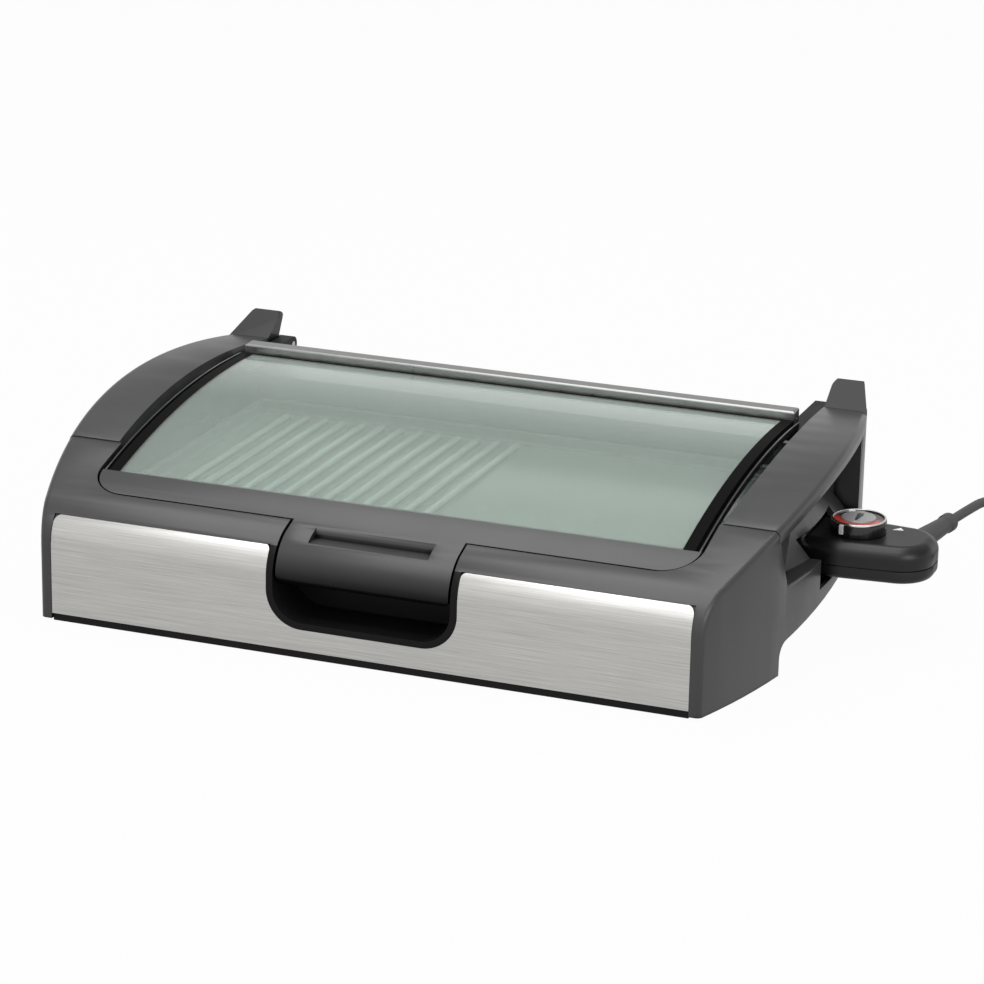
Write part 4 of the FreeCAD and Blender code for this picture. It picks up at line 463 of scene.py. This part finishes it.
def clear_glass(tree, shader, tint):
    """Green-tinted glass that lets the lamps' light through."""
    smear = object_noise(tree, scale=9.0, detail=4.0, rough=0.6)
    shader.inputs["Transmission Weight"].default_value = GLASS_TRANSMISSION
    shader.inputs["IOR"].default_value = GLASS_IOR
    tree.links.new(tinted(tree, smear, tint, amount=0.015), shader.inputs["Base Color"])
    tree.links.new(spread(tree, smear, low=0.002, high=0.006), shader.inputs["Roughness"])
    clear = tree.nodes.new("ShaderNodeBsdfTransparent")
    clear.inputs["Color"].default_value = (*tint, 1.0)
    path = tree.nodes.new("ShaderNodeLightPath")
    mix = tree.nodes.new("ShaderNodeMixShader")
    tree.links.new(path.outputs["Is Shadow Ray"], mix.inputs["Fac"])
    tree.links.new(shader.outputs["BSDF"], mix.inputs[1])
    tree.links.new(clear.outputs["BSDF"], mix.inputs[2])
    return mix.outputs["Shader"]


def bordered_glass(name, colours, roughness, surface):
    """Lid glass with a black border of painted shade along its sides, half as wide at the rear."""
    material, tree, shader = start_material(name)
    glass = clear_glass(tree, shader, colours.glass)
    # Painted shade: a black, nearly glossless coat at the glass's sides and rear
    shade_paint = tree.nodes.new("ShaderNodeBsdfPrincipled")
    shade_paint.inputs["Base Color"].default_value = (*colours.shade_paint, 1.0)
    shade_paint.inputs["Roughness"].default_value = roughness.shade_paint
    shade_paint.inputs["Specular IOR Level"].default_value = surface.shade_paint_gloss
    low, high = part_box("lid_glass")
    border = surface.glass_border
    bare_low = (low[0] + border, low[1] - border, low[2] - border)
    bare_high = (high[0] - border, high[1] - border / 2, high[2] + border)
    whole = tree.nodes.new("ShaderNodeMixShader")
    tree.links.new(outside_box(tree, bare_low, bare_high), whole.inputs["Fac"])
    tree.links.new(glass, whole.inputs[1])
    tree.links.new(shade_paint.outputs["BSDF"], whole.inputs[2])
    tree.links.new(whole.outputs["Shader"], tree.nodes["Material Output"].inputs["Surface"])
    return material


# Piece helpers
def soften(piece, width):
    """Rounded edges that leave the solid itself as it is."""
    weld = piece.modifiers.new("weld", "WELD")
    weld.merge_threshold = WELD_DISTANCE
    bevel = piece.modifiers.new("soft_edges", "BEVEL")
    bevel.width = width
    bevel.segments = EDGE_SEGMENTS
    bevel.limit_method = "ANGLE"
    bevel.angle_limit = EDGE_ANGLE
    bevel.use_clamp_overlap = True
    bevel.harden_normals = True


def dress(names, material, edge=0.0):
    """Gives the named solids a finish and, where an edge is given, soft edges."""
    for name in names:
        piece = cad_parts[name]
        for slot in piece.material_slots:
            slot.material = material
        if edge:
            soften(piece, edge)


def add_piece(name, mesh, material, body):
    piece = bpy.data.objects.new(name, mesh)
    bpy.context.scene.collection.objects.link(piece)
    piece.data.materials.append(material)
    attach(piece, body)


def grill_settings(context):
    scene = context.scene
    return scene.grill_colours, scene.grill_roughness, scene.grill_surface


# Operators
class GRILL_OT_casing(bpy.types.Operator):
    """Finish the dark casing, rails and lid apron, with painted shade in seams, on the hinge ears, round the
    finger well and under the hand flap
    """

    bl_idname = "grill.casing"
    bl_label = "Casing"

    def execute(self, context):
        colours, roughness, surface = grill_settings(context)

        def casing_finish(name, **shade):
            return moulded_plastic(name, colours.casing, roughness.casing, surface.casing_grain,
                                   seam_shade_reach=surface.seam_shade_reach, **shade)

        # Painted shade on the rails' hinge ears: a box at the rear keeps only part of the colour and gloss
        low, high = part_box("left_rail")
        reach = surface.ear_length
        ears = ((low[0], high[1] - reach, high[2] - reach), (-low[0], high[1] + reach, high[2] + reach),
                surface.ear_shade)
        dress(RAILS, casing_finish("rails_with_shaded_ears", dim=ears), surface.casing_edge)
        # Painted shade: the rim round the finger well is darkened inside this box
        low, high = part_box("grip_pocket")
        front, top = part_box("front_panel")
        rim = surface.well_shade_width
        well = ((low[0] - rim, front[1] - rim, low[2] - rim), (high[0] + rim, high[1] + rim, top[2]),
                surface.well_shade)
        dress(("outer_casing",), casing_finish("casing_with_shaded_well", dim=well), surface.casing_edge)
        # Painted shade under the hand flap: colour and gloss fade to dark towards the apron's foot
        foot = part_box("lid_apron")[0][2]
        flap = (foot + surface.flap_lip, foot + surface.flap_shade)
        dress(("lid_apron",), casing_finish("apron_with_shaded_flap", fade=flap), surface.casing_edge)
        return {"FINISHED"}


class GRILL_OT_black_mouldings(bpy.types.Operator):
    """Finish the finger well, base tub, hinge arms and inner mouldings"""

    bl_idname = "grill.black_mouldings"
    bl_label = "Black mouldings"

    def execute(self, context):
        colours, roughness, surface = grill_settings(context)
        finish = moulded_plastic("black_moulding", colours.black, roughness.black, surface.casing_grain,
                                 gloss=surface.black_gloss)
        dress(BLACK_MOULDINGS, finish, surface.small_edge)
        inner = moulded_plastic("terminal_moulding", colours.inner, roughness.inner, surface.casing_grain)
        dress(INNER_MOULDINGS, inner, surface.small_edge)
        return {"FINISHED"}


class GRILL_OT_front_panel(bpy.types.Operator):
    """Finish the brushed steel front panel"""

    bl_idname = "grill.front_panel"
    bl_label = "Front panel"

    def execute(self, context):
        colours, roughness, surface = grill_settings(context)
        finish = brushed_metal("brushed_panel", colours.steel, roughness.steel, surface.brush_length,
                               surface.brush_width)
        dress(("front_panel",), finish, surface.thin_edge)
        return {"FINISHED"}


class GRILL_OT_lid(bpy.types.Operator):
    """Finish the lid's glass, side bars and rear rail"""

    bl_idname = "grill.lid"
    bl_label = "Lid"

    def execute(self, context):
        colours, roughness, surface = grill_settings(context)
        dress(("lid_glass",), bordered_glass("lid_glass_tint", colours, roughness, surface))
        dress(LID_BARS, gloss_paint("lid_bar_paint", colours.lid_bar, roughness.lid_bar), surface.thin_edge)
        rail = plain_metal("rear_rail_metal", colours.lid_metal, roughness.lid_metal)
        dress(("lid_rear_rail",), rail, surface.small_edge)
        return {"FINISHED"}


class GRILL_OT_cooking_parts(bpy.types.Operator):
    """Finish the plate, reflector, drip tray and heater"""

    bl_idname = "grill.cooking_parts"
    bl_label = "Cooking parts"

    def execute(self, context):
        colours, roughness, surface = grill_settings(context)
        low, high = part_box("grill_plate")
        inset = surface.rib_inset
        top = high[2] - surface.rim_above_plate
        # Painted highlight: the rib tops are paler inside this box
        coat = coated_metal("plate_coat", colours.plate, roughness.plate,
                            (low[0] + inset, low[1] + inset, top + surface.rib_height / 2),
                            (high[0] - inset, high[1] - inset, top + surface.rib_height * 2))
        dress(("grill_plate",), coat, surface.small_edge)
        dress(BRIGHT_SHEETS, plain_metal("bright_sheet", colours.bright_sheet, roughness.bright_sheet))
        dress(HEATER, plain_metal("heater_sheath", colours.heater, roughness.heater))
        return {"FINISHED"}


class GRILL_OT_control(bpy.types.Operator):
    """Finish the thermostat control and its contacts"""

    bl_idname = "grill.control"
    bl_label = "Control"

    def execute(self, context):
        colours, roughness, surface = grill_settings(context)
        finish = moulded_plastic("control_moulding", colours.control, roughness.control, surface.casing_grain,
                                 gloss=surface.control_gloss)
        dress(CONTROL_MOULDINGS, finish, surface.small_edge)
        dress(CONTACTS, plain_metal("contact_metal", colours.contact, roughness.contact))
        dress(("pointer_mark",), gloss_paint("pale_print", colours.print_white, roughness.pointer_mark))
        return {"FINISHED"}


def pointer_mesh(middle, length, width, height):
    """Raised pointer: a rounded bar that narrows towards its front end."""
    form = bmesh.new()
    shoulder = length * 0.6
    tip = width * 0.35
    soft_edge = height * 0.6
    steps = 10
    outline = []
    for step in range(steps + 1):
        angle = math.pi * step / steps
        outline.append((width * math.cos(angle), shoulder + width * math.sin(angle)))
    outline += [(-tip, -length), (tip, -length)]
    foot = middle.z - height
    face = form.faces.new([form.verts.new((middle.x + x, middle.y + y, foot)) for x, y in outline])
    raised = bmesh.ops.extrude_face_region(form, geom=[face])
    tops = [item for item in raised["geom"] if isinstance(item, bmesh.types.BMVert)]
    bmesh.ops.translate(form, verts=tops, vec=(0, 0, 2 * height))
    bmesh.ops.recalc_face_normals(form, faces=form.faces)
    edges = [edge for edge in form.edges if all(vert in tops for vert in edge.verts)]
    bmesh.ops.bevel(form, geom=edges, offset=soft_edge, segments=2, affect="EDGES")
    mesh = bpy.data.meshes.new("cap_pointer")
    form.to_mesh(mesh)
    form.free()
    return mesh


class GRILL_OT_knob(bpy.types.Operator):
    """Finish the knob and set a pointer on its cap"""

    bl_idname = "grill.knob"
    bl_label = "Knob"

    def execute(self, context):
        colours, roughness, surface = grill_settings(context)
        dress(("knob",), gloss_paint("knob_moulding", colours.control, roughness.knob), surface.small_edge)
        dress(("knob_bezel",), plain_metal("bright_bezel", colours.bezel, roughness.bezel), surface.thin_edge)
        low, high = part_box("dial_ring")
        dial = dial_paint("dial_paint", colours.dial, colours.control, (low[1] + high[1]) / 2,
                          surface.dial_blend)
        dress(("dial_ring",), dial)
        dress(("knob_cap",), gloss_paint("cap_paint", colours.silver, roughness.cap))
        dress(("knob_marker",), gloss_paint("marker_paint", colours.print_white, roughness.marker))
        low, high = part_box("knob_cap")
        middle = (Vector(low) + Vector(high)) / 2
        mesh = pointer_mesh(Vector((middle.x, middle.y, high[2])), surface.pointer_length,
                            surface.pointer_width, surface.pointer_height)
        paint = gloss_paint("pointer_paint", colours.control, roughness.cap)
        add_piece("cap_pointer", mesh, paint, "knob")
        return {"FINISHED"}


class GRILL_OT_fasteners(bpy.types.Operator):
    """Finish the screws, pins and feet"""

    bl_idname = "grill.fasteners"
    bl_label = "Fasteners and feet"

    def execute(self, context):
        colours, roughness, surface = grill_settings(context)
        dress(FASTENERS, plain_metal("zinc_plate", colours.zinc, roughness.zinc))
        dress(("rubber_feet",), rubber("foot_rubber", colours.foot), surface.foot_edge)
        return {"FINISHED"}


def coil_points(lead, start):
    """Turns that spiral in on the table, climb a layer and spiral out again."""
    pitch = lead.diameter + lead.coil_gap
    outer = lead.coil_mean + pitch
    radii = [outer - index * pitch / 2 for index in range(lead.half_turns + 1)]
    radii += radii[-2:0:-1]
    points = [start]
    here = start + Vector((lead.diameter, 0, 0))
    for index, radius in enumerate(radii):
        way = -1 if index % 2 == 0 else 1
        rise = pitch if index == lead.half_turns else 0.0
        for step in range(lead.turn_points):
            angle = math.pi * (step + 0.5) / lead.turn_points
            side = -way * radius * math.sin(angle)
            along = way * radius * (1 - math.cos(angle))
            points.append(here + Vector((side, along, rise * (1 - math.cos(angle)) / 2)))
        here = here + Vector((0, 2 * radius * way, rise))
    points.append(here + Vector((lead.coil_tail / 2, 0, 0)))
    points.append(here + Vector((lead.coil_tail, 0, 0)))
    return points


def lead_curve(points, diameter):
    """Smooth round lead through the points."""
    curve = bpy.data.curves.new("mains_lead", "CURVE")
    curve.dimensions = "3D"
    spline = curve.splines.new("NURBS")
    spline.points.add(len(points) - 1)
    for knot, point in zip(spline.points, points):
        knot.co = (*point, 1.0)
    spline.order_u = 3
    spline.use_endpoint_u = True
    spline.resolution_u = 6
    curve.bevel_depth = diameter / 2
    curve.bevel_resolution = 5
    curve.use_fill_caps = True
    return curve


class GRILL_OT_mains_lead(bpy.types.Operator):
    """Lay the mains lead from its sleeve to the coil and the plug"""

    bl_idname = "grill.mains_lead"
    bl_label = "Mains lead"

    def execute(self, context):
        scene = context.scene
        lead = scene.grill_lead
        finish = rubber("lead_rubber", scene.grill_colours.lead)
        dress(LEAD_MOULDINGS, finish, scene.grill_surface.small_edge)
        route = [Vector(point) for point in LEAD_ROUTE]
        curve = lead_curve(route + coil_points(lead, Vector(COIL_START)), lead.diameter)
        curve.materials.append(finish)
        piece = bpy.data.objects.new("mains_lead", curve)
        scene.collection.objects.link(piece)
        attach(piece, "control")
        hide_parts("power_cord", "cord_coil")
        return {"FINISHED"}


# Studio
def studio_floor_finish():
    """White floor: seen as bright paper, with the object's soft shadow kept."""
    material, tree, shader = start_material("studio_floor")
    tree.nodes.remove(shader)
    paper = tree.nodes.new("ShaderNodeBsdfDiffuse")
    paper.inputs["Color"].default_value = PAPER_COLOUR
    glow = tree.nodes.new("ShaderNodeEmission")
    path = tree.nodes.new("ShaderNodeLightPath")
    seen = reckon(tree, "MULTIPLY", path.outputs["Is Camera Ray"], PAPER_SEEN)
    mirrored = reckon(tree, "MULTIPLY", path.outputs["Is Glossy Ray"], PAPER_MIRRORED)
    mix = tree.nodes.new("ShaderNodeMixShader")
    tree.links.new(reckon(tree, "ADD", seen, mirrored), mix.inputs["Fac"])
    tree.links.new(paper.outputs["BSDF"], mix.inputs[1])
    tree.links.new(glow.outputs["Emission"], mix.inputs[2])
    tree.links.new(mix.outputs["Shader"], tree.nodes["Material Output"].inputs["Surface"])
    return material


def backdrop_colour(tree):
    """Bright low down, dim above that, paler overhead, and white towards the front."""
    place = tree.nodes.new("ShaderNodeTexCoord")
    axes = tree.nodes.new("ShaderNodeSeparateXYZ")
    tree.links.new(place.outputs["Generated"], axes.inputs["Vector"])
    ramp = tree.nodes.new("ShaderNodeValToRGB")
    stops = ramp.color_ramp.elements
    stops[0].position = BACKDROP_GREYS[0][0]
    stops[1].position = BACKDROP_GREYS[1][0]
    for height, _ in BACKDROP_GREYS[2:]:
        stops.new(height)
    for stop, (_, grey) in zip(stops, BACKDROP_GREYS):
        stop.color = (grey, grey, grey, 1.0)
    whole = tree.nodes.new("ShaderNodeMix")
    whole.data_type = "RGBA"
    whole.inputs[MIX_SECOND].default_value = WHITE
    tree.links.new(axes.outputs["Z"], ramp.inputs["Fac"])
    tree.links.new(map_range(tree, axes.outputs["Y"], 0.0, BACKDROP_FRONT), whole.inputs[MIX_AMOUNT])
    tree.links.new(ramp.outputs["Color"], whole.inputs[MIX_FIRST])
    return whole.outputs[MIX_COLOUR]


def studio_world(strength):
    """White to the camera, a backdrop to gloss and glass, and an even light to the rest."""
    world = bpy.data.worlds.new("studio")
    world.use_nodes = True
    tree = world.node_tree
    light = tree.nodes["Background"]
    light.inputs["Strength"].default_value = strength
    light.inputs["Color"].default_value = WHITE
    white = tree.nodes.new("ShaderNodeBackground")
    white.inputs["Color"].default_value = WHITE
    backdrop = tree.nodes.new("ShaderNodeBackground")
    tree.links.new(backdrop_colour(tree), backdrop.inputs["Color"])
    path = tree.nodes.new("ShaderNodeLightPath")
    mirrored = reckon(tree, "MAXIMUM", path.outputs["Is Glossy Ray"], path.outputs["Is Transmission Ray"])
    inner = tree.nodes.new("ShaderNodeMixShader")
    tree.links.new(mirrored, inner.inputs["Fac"])
    tree.links.new(light.outputs["Background"], inner.inputs[1])
    tree.links.new(backdrop.outputs["Background"], inner.inputs[2])
    outer = tree.nodes.new("ShaderNodeMixShader")
    tree.links.new(path.outputs["Is Camera Ray"], outer.inputs["Fac"])
    tree.links.new(inner.outputs["Shader"], outer.inputs[1])
    tree.links.new(white.outputs["Background"], outer.inputs[2])
    tree.links.new(outer.outputs["Shader"], tree.nodes["World Output"].inputs["Surface"])
    return world


def add_floor(scene):
    mesh = bpy.data.meshes.new("floor")
    reach = FLOOR_REACH
    mesh.from_pydata([(-reach, -reach, 0), (reach, -reach, 0), (reach, reach, 0), (-reach, reach, 0)], [],
                     [(0, 1, 2, 3)])
    floor = bpy.data.objects.new("floor", mesh)
    floor.data.materials.append(studio_floor_finish())
    scene.collection.objects.link(floor)


def add_panel_light(scene, name, place, aim, width, height, watts):
    lamp = bpy.data.lights.new(name, "AREA")
    lamp.shape = "RECTANGLE"
    lamp.size = width
    lamp.size_y = height
    lamp.energy = watts
    light = bpy.data.objects.new(name, lamp)
    scene.collection.objects.link(light)
    light.location = place
    light.rotation_euler = (Vector(aim) - Vector(place)).to_track_quat("-Z", "Y").to_euler()


def add_camera(scene, studio):
    lens = bpy.data.cameras.new("camera")
    lens.lens = studio.lens
    lens.sensor_width = SENSOR_WIDTH
    camera = bpy.data.objects.new("camera", lens)
    scene.collection.objects.link(camera)
    turn = Matrix.Rotation(studio.azimuth, 4, "Z")
    tilt = Matrix.Rotation(math.pi / 2 - studio.elevation, 4, "X")
    roll = Matrix.Rotation(studio.roll, 4, "Z")
    back = Matrix.Translation((0, 0, studio.distance))
    camera.matrix_world = Matrix.Translation(studio.look_at) @ turn @ tilt @ roll @ back
    scene.camera = camera


class GRILL_OT_stage(bpy.types.Operator):
    """Set up the white floor, the light panels and the camera"""

    bl_idname = "grill.stage"
    bl_label = "Stage"

    def execute(self, context):
        scene = context.scene
        studio = scene.grill_studio
        scene.view_settings.view_transform = "Standard"
        scene.world = studio_world(studio.sky)
        add_floor(scene)
        add_panel_light(scene, "overhead_panel", place=(-0.2, -0.05, 1.9), aim=(0, 0, 0.1),
                        width=2.4, height=1.6, watts=studio.key)
        add_panel_light(scene, "side_panel", place=(1.6, -1.2, 0.9), aim=(0.1, 0, 0.08),
                        width=1.0, height=1.0, watts=studio.side)
        add_panel_light(scene, "front_panel_light", place=(-0.1, -1.7, 1.75), aim=(0, -0.1, 0.08),
                        width=2.2, height=0.7, watts=studio.front)
        add_camera(scene, studio)
        return {"FINISHED"}


PIECES = (GRILL_OT_casing, GRILL_OT_black_mouldings, GRILL_OT_front_panel, GRILL_OT_lid,
          GRILL_OT_cooking_parts, GRILL_OT_control, GRILL_OT_knob, GRILL_OT_fasteners, GRILL_OT_mains_lead,
          GRILL_OT_stage)


class GRILL_PT_looks(bpy.types.Panel):
    """Lists the grill's finishing steps"""

    bl_idname = "GRILL_PT_looks"
    bl_label = "Table grill"
    bl_space_type = "VIEW_3D"
    bl_region_type = "UI"
    bl_category = "Grill"

    def draw(self, context):
        for piece in PIECES:
            self.layout.operator(piece.bl_idname)


GROUPS = {"grill_colours": GrillColours, "grill_roughness": GrillRoughness, "grill_surface": GrillSurface,
          "grill_lead": GrillLead, "grill_studio": GrillStudio}


def register():
    for name, group in GROUPS.items():
        bpy.utils.register_class(group)
        setattr(bpy.types.Scene, name, PointerProperty(type=group))
    for piece in PIECES:
        bpy.utils.register_class(piece)
    bpy.utils.register_class(GRILL_PT_looks)


def unregister():
    bpy.utils.unregister_class(GRILL_PT_looks)
    for piece in reversed(PIECES):
        bpy.utils.unregister_class(piece)
    for name, group in GROUPS.items():
        delattr(bpy.types.Scene, name)
        bpy.utils.unregister_class(group)


def main():
    register()
    bpy.ops.grill.stage()
    bpy.ops.grill.mains_lead()
    bpy.ops.grill.casing()
    bpy.ops.grill.black_mouldings()
    bpy.ops.grill.front_panel()
    bpy.ops.grill.lid()
    bpy.ops.grill.cooking_parts()
    bpy.ops.grill.control()
    bpy.ops.grill.knob()
    bpy.ops.grill.fasteners()


if __name__ == "__main__":
    main()
